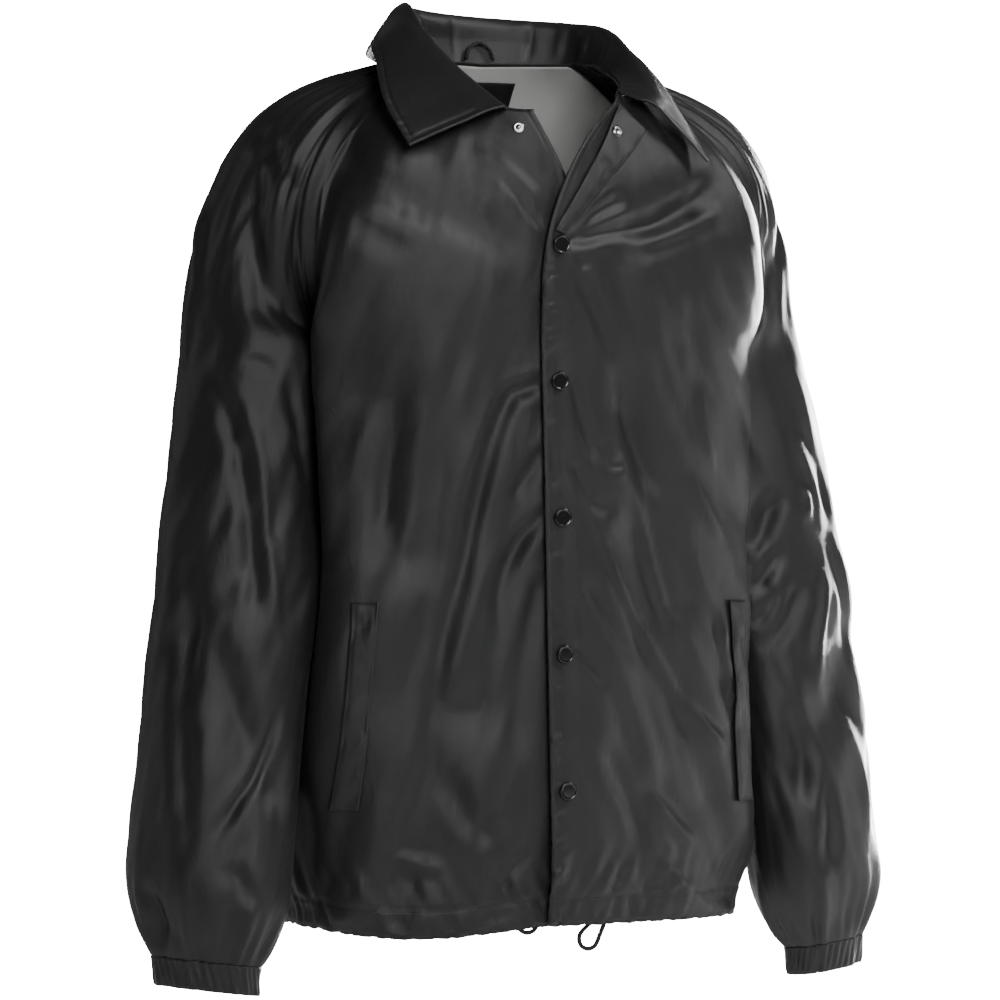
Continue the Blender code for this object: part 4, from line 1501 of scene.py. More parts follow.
@dataclass
class Finishes:
    """Every finish of the jacket, made once."""

    groups: NodeGroups = field(default_factory=NodeGroups)

    def __post_init__(self) -> None:
        """Makes the materials."""
        self.nylon = ClothFinish(
            "black_satin_nylon", (0.019, 0.019, 0.0195), (0.025, 0.025, 0.0255), 0.33, 0.43, 3600.0, 0.0, 0.00004,
            46.0, 0.00035, sheen=0.06, specular=0.55,
        ).make(self.groups)
        self.lining = ClothFinish(
            "pale_twill_lining", (0.84, 0.84, 0.825), (0.93, 0.93, 0.91), 0.78, 0.92, 520.0, 1.0, 0.00035,
            60.0, 0.0005, sheen=0.2,
        ).make(self.groups)
        self.label = ClothFinish(
            "dark_woven_label", (0.008, 0.008, 0.008), (0.014, 0.014, 0.014), 0.62, 0.78, 2200.0, 0.0, 0.00008,
            90.0, 0.0002,
        ).make(self.groups)
        self.thread = ClothFinish(
            "black_thread", (0.030, 0.030, 0.031), (0.048, 0.048, 0.049), 0.45, 0.6, 900.0, 0.0, 0.00002,
            500.0, 0.00005, sheen=0.2,
        ).make(self.groups)
        # The braid's dark colour is painted shade in the grooves between the strands; its light colour is on the
        # strand tops.
        self.braid = CordFinish("black_braided_cord", (0.006, 0.006, 0.006), (0.026, 0.026, 0.027)).make(self.groups)
        self.enamel = MetalFinish(
            "gloss_black_enamel", (0.010, 0.010, 0.0105), (0.016, 0.016, 0.0165), 0.16, 0.30, 0.0, coat=0.6
        ).make(self.groups)
        self.nickel = MetalFinish(
            "bright_nickel", (0.34, 0.335, 0.325), (0.52, 0.51, 0.50), 0.10, 0.28, 1.0
        ).make(self.groups)


# Pieces


@dataclass
class Sleeve:
    """One raglan sleeve with its elastic cuff; creases are placed by turn in degrees from the underarm and z."""

    side: Side
    form: JacketForm
    creases: tuple[Crease, ...]
    seed: int
    rows: int = 280
    columns: int = 121
    gather_reach: float = 0.085
    gather_peak: float = 0.016
    gather_depth: float = 0.0036
    cuff_rows: int = 22
    cuff_columns: int = 181
    cuff_depth: float = 0.0015
    cuff_puff: float = 0.0012
    cuff_tuck: float = 0.0012
    seam_dip: float = 0.0009
    seam_width: float = 0.0030
    seam_fade: float = 0.014
    wrist_fade: float = 0.030
    folds: tuple[Fold, ...] = (
        Fold((110.0, -0.130), (60.0, -0.230), 0.020, -0.008),
        Fold((120.0, -0.500), (40.0, -0.620), 0.022, -0.007),
        Fold((160.0, -0.300), (140.0, -0.480), 0.024, 0.005),
        Fold((250.0, -0.420), (300.0, -0.560), 0.024, -0.007),
    )

    def _laid(self, place: Place) -> Place:
        """A place by its turn in degrees, as one by its length round the sleeve."""
        return place[0] / 360.0 * self.form.girth, place[1]

    def _gathers(self, u: np.ndarray) -> np.ndarray:
        """Uneven pleats round the wrist, from about -1 to 1.

        Args:
            u: Shares of the way round.

        Returns:
            The heights.
        """
        draw = np.random.default_rng(self.seed + 5)
        total = np.zeros_like(u)
        for count, size in ((10, 0.42), (7, 0.30), (15, 0.34), (21, 0.22), (28, 0.14)):
            total += size * np.cos(2 * math.pi * (count * u + draw.uniform()))
        return total

    def shape(self) -> np.ndarray:
        """The sleeve's outer points, with x counted outwards.

        Returns:
            The points.
        """
        base = self.form.sleeve()
        down, over = gathered_places(self.rows, 0.20), gathered_places(self.columns, 0.30)
        fine = refined(base, down, over)
        u = 1.0 - over
        marks = np.stack([np.broadcast_to(u * self.form.girth, fine.shape[:2]), fine[..., 2]], axis=2)
        folds = [fold._replace(start=self._laid(fold.start), end=self._laid(fold.end)) for fold in self.folds]
        seams = nearest_border(fine, Border.FIRST, Border.LAST)
        top, foot = distance_from(fine, Border.TOP), distance_from(fine, Border.FOOT)
        fade = ease(np.minimum(seams, top) / self.seam_fade) * ease(foot / self.wrist_fade)
        heights = fold_heights(marks, folds) + crease_heights(fine, marks, self.creases, self.form.girth / 360.0)
        heights += Unevenness(self.seed).heights(marks)
        heights += Unevenness(self.seed + 4, *FINE_CREASING, lean=0.20).heights(marks)
        rise = self.cuff_depth + (self.gather_depth - self.cuff_depth) * ease(foot / self.gather_peak)
        rise *= 1 - ease((foot - self.gather_peak) / (self.gather_reach - self.gather_peak))
        in_cap = (down * (len(base) - 1) < self.form.upper_rows - 1)[:, None]
        dip = self.seam_dip * np.exp(-np.minimum(np.where(in_cap, seams, 1.0), top) / self.seam_width)
        dip += self.seam_dip * bell(foot, self.seam_width)
        grid = moved_out(fine, heights * fade + rise * self._gathers(u) - dip)
        below = ~in_cap[:, 0]
        grid[below, 0] = grid[below, -1] = (grid[below, 0] + grid[below, -1]) / 2
        return grid

    def cuff_shape(self) -> np.ndarray:
        """The cuff's outer points: a short pleated band that bulges between its stitched edges.

        Returns:
            The points.
        """
        u = np.linspace(1.0, 0.0, self.cuff_columns)
        v = np.linspace(0.0, 1.0, self.cuff_rows)
        top = self.form.cuff_top_z + self.cuff_tuck
        heights = top + (self.form.loops[-1].z - top) * v
        grid = np.array([self.form.sleeve_loop(z, u) for z in heights])
        fine = 0.35 * np.cos(2 * math.pi * 37 * u + 5.0 * v[:, None])
        puff = self.cuff_puff * (np.sin(math.pi * v) ** 0.7)[:, None]
        pleats = self.cuff_depth * (self._gathers(u)[None] * (0.75 + 0.25 * np.cos(2 * math.pi * v))[:, None] + fine)
        grid = moved_out(grid, puff + pleats - self.cuff_puff * 0.5)
        grid[:, 0] = grid[:, -1] = (grid[:, 0] + grid[:, -1]) / 2
        return grid

    def build(self, finishes: Finishes) -> np.ndarray:
        """Makes the sleeve and its cuff.

        Args:
            finishes: The jacket's finishes.

        Returns:
            The sleeve's outer points, with x counted outwards.
        """
        own = self.shape()
        for name, grid, held in (("sleeve", own, "hung"), ("cuff", self.cuff_shape(), "gathered")):
            node = f"{name}_{self.side.word}"
            placed = grid if self.side is Side.LEFT else mirrored(grid)
            sewn_piece(node, placed, self.form.cloth, finishes.nylon, Slot.NYLON, held, tube=True)
        return own


@dataclass
class HemCasing:
    """The stitched casing along the hem that the drawcord runs in."""

    seed: int
    depth: float = 0.022
    groove: float = 0.0008
    groove_width: float = 0.0015
    scallop: float = 0.0006
    scallop_reach: float = 0.008
    pitch: float = 0.016

    def heights(self, across: np.ndarray, away: np.ndarray) -> np.ndarray:
        """Heights of the stitch groove and of the gathers on both sides of it.

        Args:
            across: Length along the hem.
            away: Distance from the hem.

        Returns:
            A height for each point.
        """
        groove = -self.groove * bell(away - self.depth, self.groove_width)
        low = Puckers(self.seed, self.pitch, 0.0005, 0.0004, self.depth * 1.5).heights(across, away)
        above = Puckers(self.seed + 1, self.pitch * 2.2, 0.0007, 0.004, 0.050)
        return groove + low + above.heights(across, np.abs(away - self.depth)) * ease((away - self.depth) / 0.003)

    def scalloped(self, grid: np.ndarray, across: np.ndarray, away: np.ndarray) -> np.ndarray:
        """The grid with its hem drawn up a little between gathers.

        Args:
            grid: The points.
            across: Lengths along the hem.
            away: Distances from it.

        Returns:
            The moved points.
        """
        draw = np.random.default_rng(self.seed + 2)
        wave = np.zeros_like(across)
        for pitch in (0.017, 0.029, 0.047, 0.011):
            wave += np.sin(2 * math.pi * (across / pitch + draw.uniform())) * draw.uniform(0.4, 0.9)
        grid = grid.copy()
        grid[..., 2] += self.scallop * wave * np.exp(-away / self.scallop_reach) / 1.5
        return grid


@dataclass(frozen=True)
class PanelSewing:
    """How a body panel lies at its seams and beside the sleeve, and carries its lining."""

    fade: float = 0.014
    seam_dip: float = 0.0009
    seam_width: float = 0.0030
    seam_hold: float = 0.010
    seam_tuck: float = 0.0026
    sleeve_gap: float = 0.0028
    lining_wall: float = 0.0010
    lining_depth: float = 0.0150
    lining_inset: float = 0.0015
    neck_gap: float = 0.0005
    rows_to_full: int = 4
    least_share: float = 0.4

    def dip(self, seams: np.ndarray) -> np.ndarray:
        """How far the cloth sinks at a distance from its seams."""
        return self.seam_dip * np.exp(-seams / self.seam_width)

    def beside(self, sleeve: BVHTree, shell: np.ndarray, seams: np.ndarray) -> np.ndarray:
        """A panel kept clear of a sleeve, but held at its seams.

        Args:
            sleeve: The sleeve's surface.
            shell: The panel's outer points.
            seams: How far each lies from the seams.

        Returns:
            The points.
        """
        held = ease((seams - self.seam_hold) / self.seam_hold)
        return kept_clear(shell, sleeve, True, np.full(seams.shape, self.sleeve_gap), held)

    def lining(self, panel: np.ndarray, shell: np.ndarray, coarse_rows: np.ndarray, cloth: float) -> np.ndarray:
        """A lining inside a panel, which leaves the neck seam close to it and hangs clear of its folds lower down.

        Args:
            panel: The panel's smooth base, at the lining's rows and columns.
            shell: The panel's creased outer points.
            coarse_rows: How many of the solid's rows each row lies below the neck.
            cloth: The panel's thickness.

        Returns:
            The points.
        """
        drop = self.neck_gap + (self.lining_depth - self.neck_gap) * ease(coarse_rows / self.rows_to_full)
        drop = np.broadcast_to(drop[:, None], panel.shape[:2])
        inner = moved_out(panel, -(cloth + drop))
        clear = cloth + self.least_share * drop
        inner = kept_clear(inner, surface_of(shell[::2, ::2]), False, clear, np.ones(clear.shape))
        return drawn_in(inner, self.lining_inset)


@dataclass
class FrontPanel:
    """One front with its lining, pocket welt and stitching; creases are placed by x and z."""

    side: Side
    form: JacketForm
    cut: FrontCut
    creases: tuple[Crease, ...]
    seed: int
    crease_from: float
    crease_over: float
    lean: float
    lap_rise: float = 0.0
    rows: int = 280
    columns: int = 104
    lap_fades_from: float = 0.020
    lap_fades_over: float = 0.050
    lap_starts_over: float = 0.050
    edge_fade: float = 0.006
    edge_stitch: float = 0.0035
    stitch_dip: float = 0.0005
    stitch_dip_width: float = 0.0012
    puckers_from: float = -0.165
    puckers_over: float = 0.030
    sewing: PanelSewing = PanelSewing()
    facing_columns: int = 3
    welt_top: Place = (0.176, -0.470)
    welt_foot: Place = (0.188, -0.645)
    welt_width: float = 0.020
    welt_wall: float = 0.0016
    welt_lift: float = 0.0014
    welt_counts: tuple[int, int] = (18, 70)
    welt_puff: float = 0.0008
    welt_puff_over: float = 0.004
    welt_stitch: float = 0.003
    welt_stitch_dip: float = 0.0004
    welt_dip_width: float = 0.0011

    def shape(self, sleeve: BVHTree) -> tuple[np.ndarray, np.ndarray, np.ndarray]:
        """The front's outer points, with x counted outwards.

        Args:
            sleeve: The own-side sleeve's surface, which the front stays clear of.

        Returns:
            The outer points, the smooth base and the coarse row of each of its rows.
        """
        base = self.form.front(self.cut)
        down, over = gathered_places(self.rows, 0.20), gathered_places(self.columns, 0.45)
        fine = refined(base, down, over)
        x, z = fine[..., 0], fine[..., 2]
        marks = np.stack([x, z], axis=2)
        lap = 1 - ease((x - self.lap_fades_from) / self.lap_fades_over)
        seams = nearest_border(fine, Border.FIRST, Border.TOP)
        edge, hem = distance_from(fine, Border.LAST), distance_from(fine, Border.FOOT)
        fade = ease(seams / self.sewing.fade) * ease(edge / self.edge_fade) * ease(hem / self.sewing.fade)
        heights = fold_heights(marks, self.cut.folds) * (1 - lap)
        heights += crease_heights(fine, marks, self.creases) * ease((x - self.crease_from) / self.crease_over)
        heights += Unevenness(self.seed, lean=self.lean).heights(marks) * (1 - 0.75 * lap)
        heights += Unevenness(self.seed + 4, *FINE_CREASING, lean=self.lean).heights(marks) * (1 - 0.6 * lap)
        heights *= fade
        heights += self.lap_rise * lap * ease(-z / self.lap_starts_over)
        below_top_snap = ease((self.puckers_from - z) / self.puckers_over)
        heights += Puckers(self.seed + 1, 0.014, 0.00034).heights(-z, edge) * below_top_snap
        heights -= self.stitch_dip * bell(edge - self.edge_stitch, self.stitch_dip_width)
        casing = HemCasing(self.seed + 2)
        across = distance_from(fine, Border.FIRST)
        heights += casing.heights(across, hem) * ease(across / 0.01)
        heights -= self.sewing.dip(seams)
        shell = drawn_in(casing.scalloped(moved_out(fine, heights), across, hem), -self.sewing.seam_tuck)
        return self.sewing.beside(sleeve, shell, seams), fine, down * (len(base) - 1)

    def lining_shape(self, shell: np.ndarray, fine: np.ndarray, coarse_rows: np.ndarray) -> np.ndarray:
        """The lining's points, moved in clear of the shell's folds.

        Args:
            shell: The front's outer points.
            fine: The smooth base.
            coarse_rows: The coarse row of each of its rows.

        Returns:
            The points.
        """
        last = self.form.upper_rows + self.form.body_lower_rows - 3
        rows = np.flatnonzero(coarse_rows <= last)[::3]
        limit = 1 - self.facing_columns / (self.form.front_columns - 1)
        over = gathered_places(self.columns, 0.45)
        columns = np.flatnonzero(over <= limit)[::3]
        panel = fine[np.ix_(rows, columns)]
        return self.sewing.lining(panel, shell, coarse_rows[rows], self.form.cloth)

    def build(self, sleeve: np.ndarray, finishes: Finishes) -> np.ndarray:
        """Makes the front and what is sewn on it.

        Args:
            sleeve: The own-side sleeve's outer points, with x counted outwards.
            finishes: The jacket's finishes.

        Returns:
            The front's outer points where they lie.
        """
        shell, fine, coarse_rows = self.shape(surface_of(sleeve))
        lining = self.lining_shape(shell, fine, coarse_rows)
        if self.side is Side.RIGHT:
            shell, lining = mirrored(shell), mirrored(lining)
        word = self.side.word
        sewn_piece(f"front_{word}", shell, self.form.cloth, finishes.nylon, Slot.NYLON, "hung")
        sewn_piece(f"lining_{word}", lining, self.sewing.lining_wall, finishes.lining, Slot.LINING, "hung")
        edge = Border.LAST if self.side is Side.LEFT else Border.FIRST
        lines = [inset_line(shell, edge, self.edge_stitch), inset_line(shell, Border.FOOT, HemCasing.depth)]
        lines += self._welt(surface_of(shell), finishes)
        Stitching().add(f"front_{word}_stitches", lines, finishes.thread, Slot.NYLON)
        return shell

    def _welt(self, tree: BVHTree, finishes: Finishes) -> list[tuple[np.ndarray, np.ndarray]]:
        """Makes the pocket welt.

        Args:
            tree: The front's surface.
            finishes: The jacket's finishes.

        Returns:
            The lines of its stitching.
        """
        sign, half = self.side.value, self.welt_width / 2
        corners = [
            (sign * x + shift, z) for x, z in (self.welt_top, self.welt_foot) for shift in (-half, half)
        ]
        grid = patch(tree, corners, self.welt_counts, self.welt_lift)
        away = nearest_border(grid, *Border)
        puff = self.welt_puff * (1 - np.exp(-away / self.welt_puff_over))
        puff -= self.welt_stitch_dip * bell(away - self.welt_stitch, self.welt_dip_width)
        down = distance_from(grid, Border.TOP)
        across = distance_from(grid, Border.FIRST)
        puff += Puckers(self.seed + 9, 0.060, 0.0004, 0.004, 0.06).heights(down + 0.8 * across, away)
        grid = moved_out(grid, -puff)
        node = f"pocket_welt_{self.side.word}"
        sewn_piece(node, grid, self.welt_wall, finishes.nylon, Slot.NYLON, "stretched")
        inner = Border.LAST if self.side is Side.RIGHT else Border.FIRST
        lines = []
        for border in (inner, Border.TOP, Border.FOOT):
            points, normals = inset_line(grid, border, self.welt_stitch)
            lines.append((points - normals * self.welt_wall, -normals))
        return lines


def patch(tree: BVHTree, corners: Sequence[Place], counts: tuple[int, int], lift: float) -> np.ndarray:
    """A grid on the front side of a piece between four corners.

    Args:
        tree: The piece's surface.
        corners: x and z of the top near, top far, foot near and foot far corners.
        counts: Columns and rows.
        lift: How far it lies from the piece.

    Returns:
        The grid, whose normals face the piece.
    """
    top_near, top_far, foot_near, foot_far = (np.array(corner) for corner in corners)
    columns, rows = counts
    grid = np.zeros((rows, columns, 3))
    for row, v in enumerate(np.linspace(0, 1, rows)):
        for column, u in enumerate(np.linspace(0, 1, columns)):
            top, foot = (1 - u) * top_near + u * top_far, (1 - u) * foot_near + u * foot_far
            spot, normal = landed(tree, *((1 - v) * top + v * foot))
            grid[row, column] = spot + normal * lift
    return grid


@dataclass
class BackPanel:
    """The back with its lining, neck label and hanger loop."""

    form: JacketForm
    creases: tuple[Crease, ...]
    seed: int
    rows: int = 260
    columns: int = 170
    neck_fade: float = 0.060
    sewing: PanelSewing = PanelSewing()
    label_lift: float = 0.0007
    label_counts: tuple[int, int] = (40, 20)
    label_width: float = 0.074
    label_top: float = -0.014
    label_height: float = 0.046
    hanger_radius: float = 0.0018
    hanger: tuple[Point, ...] = (
        (-0.0150, 0.0582, 0.0050),
        (-0.0120, 0.0595, 0.0130),
        (-0.0020, 0.0615, 0.0190),
        (0.0080, 0.0595, 0.0130),
        (0.0110, 0.0582, 0.0050),
    )
    folds: tuple[Fold, ...] = (
        Fold((0.170, -0.230), (0.110, -0.420), 0.030, -0.007),
        Fold((0.060, -0.300), (0.080, -0.600), 0.034, -0.007),
        Fold((0.150, -0.450), (0.130, -0.690), 0.026, 0.006),
    )

    def shape(self, left: BVHTree, right: BVHTree) -> tuple[np.ndarray, np.ndarray, np.ndarray]:
        """The back's outer points.

        Args:
            left: The left sleeve's surface, with x counted outwards.
            right: The right sleeve's surface, with x counted outwards.

        Returns:
            The outer points, the smooth base and the coarse row of each of its rows.
        """
        base = self.form.back()
        down, over = gathered_places(self.rows, 0.20), gathered_places(self.columns, 0.30)
        fine = refined(base, down, over)
        marks = np.stack([fine[..., 0], fine[..., 2]], axis=2)
        mirror_marks = np.stack([np.abs(fine[..., 0]), fine[..., 2]], axis=2)
        seams = nearest_border(fine, Border.FIRST, Border.LAST, Border.TOP)
        hem = distance_from(fine, Border.FOOT)
        heights = fold_heights(mirror_marks, self.folds) + crease_heights(fine, marks, self.creases)
        heights += Unevenness(self.seed).heights(marks)
        heights += Unevenness(self.seed + 4, *FINE_CREASING, lean=0.20).heights(marks)
        heights *= ease(seams / self.sewing.fade) * ease(hem / self.sewing.fade)
        heights *= ease(distance_from(fine, Border.TOP) / self.neck_fade)
        casing = HemCasing(self.seed + 2)
        across = distance_from(fine, Border.FIRST)
        sides = nearest_border(fine, Border.FIRST, Border.LAST)
        heights += casing.heights(across, hem) * ease(sides / 0.01)
        heights -= self.sewing.dip(seams)
        shell = drawn_in(casing.scalloped(moved_out(fine, heights), across, hem), -self.sewing.seam_tuck)
        shell = self.sewing.beside(left, shell, seams)
        shell = mirrored(self.sewing.beside(right, mirrored(shell), seams[:, ::-1]))
        return shell, fine, down * (len(base) - 1)

    def build(self, left: np.ndarray, right: np.ndarray, finishes: Finishes) -> None:
        """Makes the back and what is sewn on it.

        Args:
            left: The left sleeve's outer points, with x counted outwards.
            right: The right sleeve's outer points, with x counted outwards.
            finishes: The jacket's finishes.
        """
        shell, fine, coarse_rows = self.shape(surface_of(left), surface_of(right))
        sewn_piece("back", shell, self.form.cloth, finishes.nylon, Slot.NYLON, "hung")
        rows = np.flatnonzero(coarse_rows <= self.form.upper_rows + self.form.body_lower_rows - 3)[::2]
        panel = fine[rows][:, ::2]
        wall = self.sewing.lining_wall
        inner = self.sewing.lining(panel, shell, coarse_rows[rows], self.form.cloth)
        sewn_piece("lining_back", inner, wall, finishes.lining, Slot.LINING, "hung")
        half, foot = self.label_width / 2, self.label_top - self.label_height
        corners = [(-half, self.label_top), (half, self.label_top), (-half, foot), (half, foot)]
        label = patch(surface_of(inner), corners, self.label_counts, wall + self.label_lift)
        sewn_piece("neck_label", label, wall, finishes.label, Slot.LABEL, "laid")
        path = smooth_curve(self.hanger, np.linspace(0, 1, 40))
        loop = tube_object("hanger_loop_cord", path, self.hanger_radius, finishes.braid)
        settle(loop, Slot.BRAID, "hanger_loop")
        stitches = [inset_line(shell, Border.FOOT, HemCasing.depth)]
        Stitching().add("back_stitches", stitches, finishes.thread, Slot.NYLON)


@dataclass
class Collar:
    """The shirt collar: a gathered stand that rolls over into a leaf with a stitched edge."""

    form: JacketForm
    seed: int
    rows: int = 72
    columns: int = 230
    wall: float = 0.0018
    stitch: float = 0.0058
    stitch_dip: float = 0.0010
    stitch_dip_width: float = 0.0013
    stand_gather: float = 0.0048
    leaf_wave: float = 0.0008

    def _stand_gathers(self, along: np.ndarray) -> np.ndarray:
        """Heights of a few upright gathers, unevenly set round the stand.

        Args:
            along: Lengths round the neck.

        Returns:
            The heights.
        """
        draw = np.random.default_rng(self.seed)
        total = np.zeros_like(along)
        for place in np.cumsum(draw.uniform(0.010, 0.034, 22)):
            size, width = draw.uniform(-1.0, 1.0), draw.uniform(0.0025, 0.0055)
            total += size * bell(along - place, width)
        return self.stand_gather * total

    def build(self, finishes: Finishes) -> None:
        """Makes the collar.

        Args:
            finishes: The jacket's finishes.
        """
        down, over = np.linspace(0.0, 1.0, self.rows), gathered_places(self.columns, 0.35)
        grid = self.form.collar(down, over)
        roll = self.form.collar_roll(over)[None, :]
        stand = np.clip(down[:, None] / roll, 0.0, 1.0)
        leaf = ease((down[:, None] - roll) / (1 - roll) / 0.3)
        edge, ends = distance_from(grid, Border.FOOT), nearest_border(grid, Border.FIRST, Border.LAST)
        along = np.broadcast_to(distance_from(grid, Border.FIRST)[:1], edge.shape)
        tall = ease((distance_from(grid, Border.TOP)[-1] * roll - 0.020) / 0.015)
        heights = self._stand_gathers(along) * np.sin(math.pi * stand) * tall
        slow = np.sin(2 * math.pi * along / 0.083 + 0.7) + np.sin(2 * math.pi * along / 0.051 + 2.1)
        heights += self.leaf_wave * slow * leaf * ease(ends / 0.03)
        rim = np.minimum(edge, np.where(leaf > 0.9, ends, 1.0))
        heights -= self.stitch_dip * bell(rim - self.stitch, self.stitch_dip_width) * leaf
        heights += Puckers(self.seed + 3, 0.011, 0.00022, 0.001, 0.014).heights(along, edge) * leaf
        grid = moved_out(grid, heights)
        sewn_piece("collar", grid, self.wall, finishes.nylon, Slot.NYLON, "folded", offset=0.0)
        points, normals = inset_line(grid, Border.FOOT, self.stitch)
        lines = [(points + normals * self.wall / 2, normals)]
        for border in (Border.FIRST, Border.LAST):
            points, normals = inset_line(grid, border, self.stitch)
            keep = slice(int(self.rows * 0.5), -3)
            lines.append((points[keep] + normals[keep] * self.wall / 2, normals[keep]))
        Stitching().add("collar_stitches", lines, finishes.thread, Slot.NYLON)


class CordLoop(NamedTuple):
    """A drawcord's loop below the hem, by the middle of its ends, their spread, its bend and how far it swings."""

    x: float
    z: float
    spread: float
    reach: float
    bend: float
    lean: float

    def route(self, strand_points: int = 4, bend_points: int = 11) -> list[Place]:
        """Points down one strand, round the bend and up the other strand.

        Args:
            strand_points: How many on each strand.
            bend_points: How many round the bend.

        Returns:
            Each point's x and z.
        """
        away = math.hypot(self.reach, self.spread / 2)
        slant = math.asin(self.bend / away) - math.atan2(self.spread / 2, self.reach)
        runs = np.linspace(0, math.sqrt(away**2 - self.bend**2), strand_points, endpoint=False)
        down = [(self.spread / 2 + run * math.sin(slant), run * math.cos(slant)) for run in runs]
        turns = np.linspace(-slant, math.pi + slant, bend_points)
        bend = [(self.bend * math.cos(turn), self.reach + self.bend * math.sin(turn)) for turn in turns]
        up = [(-across, drop) for across, drop in reversed(down)]
        cosine, sine = math.cos(math.radians(self.lean)), math.sin(math.radians(self.lean))
        return [
            (self.x + across * cosine - drop * sine, self.z - across * sine - drop * cosine)
            for across, drop in down + bend + up
        ]


@dataclass
class FrontFastening:
    """The rolled lapel, the open top snap, the closed snaps and the drawcords."""

    form: JacketForm
    lapel_corners: tuple[Place, ...] = ((0.0535, -0.043), (0.080, -0.066), (-0.0195, -0.154), (-0.010, -0.157))
    lapel_lift: float = 0.0022
    lapel_counts: tuple[int, int] = (34, 80)
    lapel_puff: float = 0.0010
    lapel_puff_over: float = 0.005
    lapel_stitch: float = 0.0035
    snap_top: float = -0.166
    snap_pitch: float = 0.116
    snaps_closed: int = 5
    snap_from_edge: float = 0.0135
    snap_lift: float = 0.0007
    socket_at: Place = (0.0470, -0.0680)
    socket_lift: float = 0.0015
    stud_at: Place = (-0.0450, -0.0670)
    cord_radius: float = 0.0020
    cap_profile: tuple[Place, ...] = (
        (0.0002, 0.00240), (0.0030, 0.00240), (0.0052, 0.00235), (0.0060, 0.00232), (0.0064, 0.00250),
        (0.0069, 0.00275), (0.0073, 0.00265), (0.0077, 0.00220), (0.0080, 0.00140), (0.0080, 0.00060),
        (0.0077, 0.00010), (0.0070, 0.0),
    )
    socket_profile: tuple[Place, ...] = (
        (0.0002, 0.00030), (0.0022, 0.00030), (0.0025, 0.00040), (0.0027, 0.00135), (0.0033, 0.00160),
        (0.0042, 0.00150), (0.0047, 0.00085), (0.0051, 0.00080), (0.0055, 0.00065), (0.0055, 0.00010),
        (0.0050, 0.0),
    )
    stud_profile: tuple[Place, ...] = (
        (0.0002, 0.00300), (0.0010, 0.00292), (0.0017, 0.00255), (0.0019, 0.00200), (0.0016, 0.00125),
        (0.0020, 0.00095), (0.0032, 0.00115), (0.0040, 0.00125), (0.0046, 0.00095), (0.0050, 0.00045),
        (0.0050, 0.00005), (0.0045, 0.0),
    )
    left_cord: CordLoop = CordLoop(0.0355, -0.7330, 0.0050, 0.0295, 0.0088, 36.0)
    right_cord: CordLoop = CordLoop(0.0375, -0.7330, 0.0206, 0.0080, 0.0095, 0.0)

    def drawcord(self, side: Side, finishes: Finishes) -> None:
        """Makes the loop of drawcord that hangs out on one side.

        Args:
            side: Which one.
            finishes: The jacket's finishes.
        """
        node = f"drawcord_{side.word}"
        loop = self.left_cord if side is Side.LEFT else self.right_cord
        low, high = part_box(node)
        points = [(side.value * x, (low[1] + high[1]) / 2, z) for x, z in loop.route()]
        path = smooth_curve(points, np.linspace(0, 1, 90))
        obj = tube_object(f"{node}_braid", path, self.cord_radius, finishes.braid)
        settle(obj, Slot.BRAID, node)

    def build(self, left: np.ndarray, right: np.ndarray, left_cut: FrontCut, finishes: Finishes) -> None:
        """Makes the lapel and the snaps.

        Args:
            left: The left front's outer points.
            right: The right front's outer points.
            left_cut: Where the left front's edge lies.
            finishes: The jacket's finishes.
        """
        left_tree, right_tree = surface_of(left), surface_of(right)
        lapel = patch(left_tree, self.lapel_corners, self.lapel_counts, self.lapel_lift)
        away = nearest_border(lapel, Border.LAST, Border.FIRST)
        down = distance_from(lapel, Border.TOP)
        puff = self.lapel_puff * (1 - np.exp(-away / self.lapel_puff_over))
        puff += Puckers(77, 0.034, 0.00016, 0.002, 0.03).heights(down, away)
        lapel = moved_out(lapel, -puff)
        sewn_piece("facing_left", lapel, self.form.cloth, finishes.nylon, Slot.NYLON, "folded")
        points, normals = inset_line(lapel, Border.LAST, self.lapel_stitch)
        line = (points - normals * self.form.cloth, -normals)
        Stitching().add("facing_left_stitches", [line], finishes.thread, Slot.NYLON)
        bright, dark = (finishes.nickel, Slot.NICKEL), (finishes.enamel, Slot.ENAMEL)
        self._snap("snap_socket_1", self.socket_profile, surface_of(lapel), self.socket_at, self.socket_lift, *bright)
        self._snap("snap_stud_1", self.stud_profile, right_tree, self.stud_at, self.snap_lift, *bright)
        for index in range(self.snaps_closed):
            z = self.snap_top - index * self.snap_pitch
            share = self.form.drop_share(min(z, self.form.underarm_z))
            x = left_cut.chest_x + (left_cut.hem_x - left_cut.chest_x) * share + self.snap_from_edge
            self._snap(f"snap_cap_{index + 2}", self.cap_profile, left_tree, (x, z), self.snap_lift, *dark)

    @staticmethod
    def _snap(node: str, profile: Sequence[Place], tree: BVHTree, place: Place, lift: float, material: Material,
              slot: Slot) -> None:
        """Makes one snap part on a piece's surface, in place of its solid."""
        spot, normal = landed(tree, *place)
        settle(turned_object(f"{node}_part", profile, spot + normal * lift, normal, material), slot, node)


# Studio


def set_towards(obj: Obj, place: Point, aim: Point) -> Obj:
    """Puts a light or the camera in its place, facing a point.

    Args:
        obj: The light or the camera.
        place: Where it stands.
        aim: The point that it faces.

    Returns:
        The same object.
    """
    obj.location = place
    obj.rotation_mode = "QUATERNION"
    obj.rotation_quaternion = (Vector(aim) - Vector(place)).to_track_quat("-Z", "Y")
    return obj


@dataclass(frozen=True)
class SoftLight:
    """A soft box that faces a point of the jacket."""

    name: str
    place: Point
    aim: Point
    width: float
    height: float
    watts: float

    def add(self) -> None:
        """Adds the light to the scene."""
        data = bpy.data.lights.new(self.name, "AREA")
        data.shape = "RECTANGLE"
        data.size, data.size_y = self.width, self.height
        data.energy = self.watts
        set_towards(linked(self.name, data), self.place, self.aim)


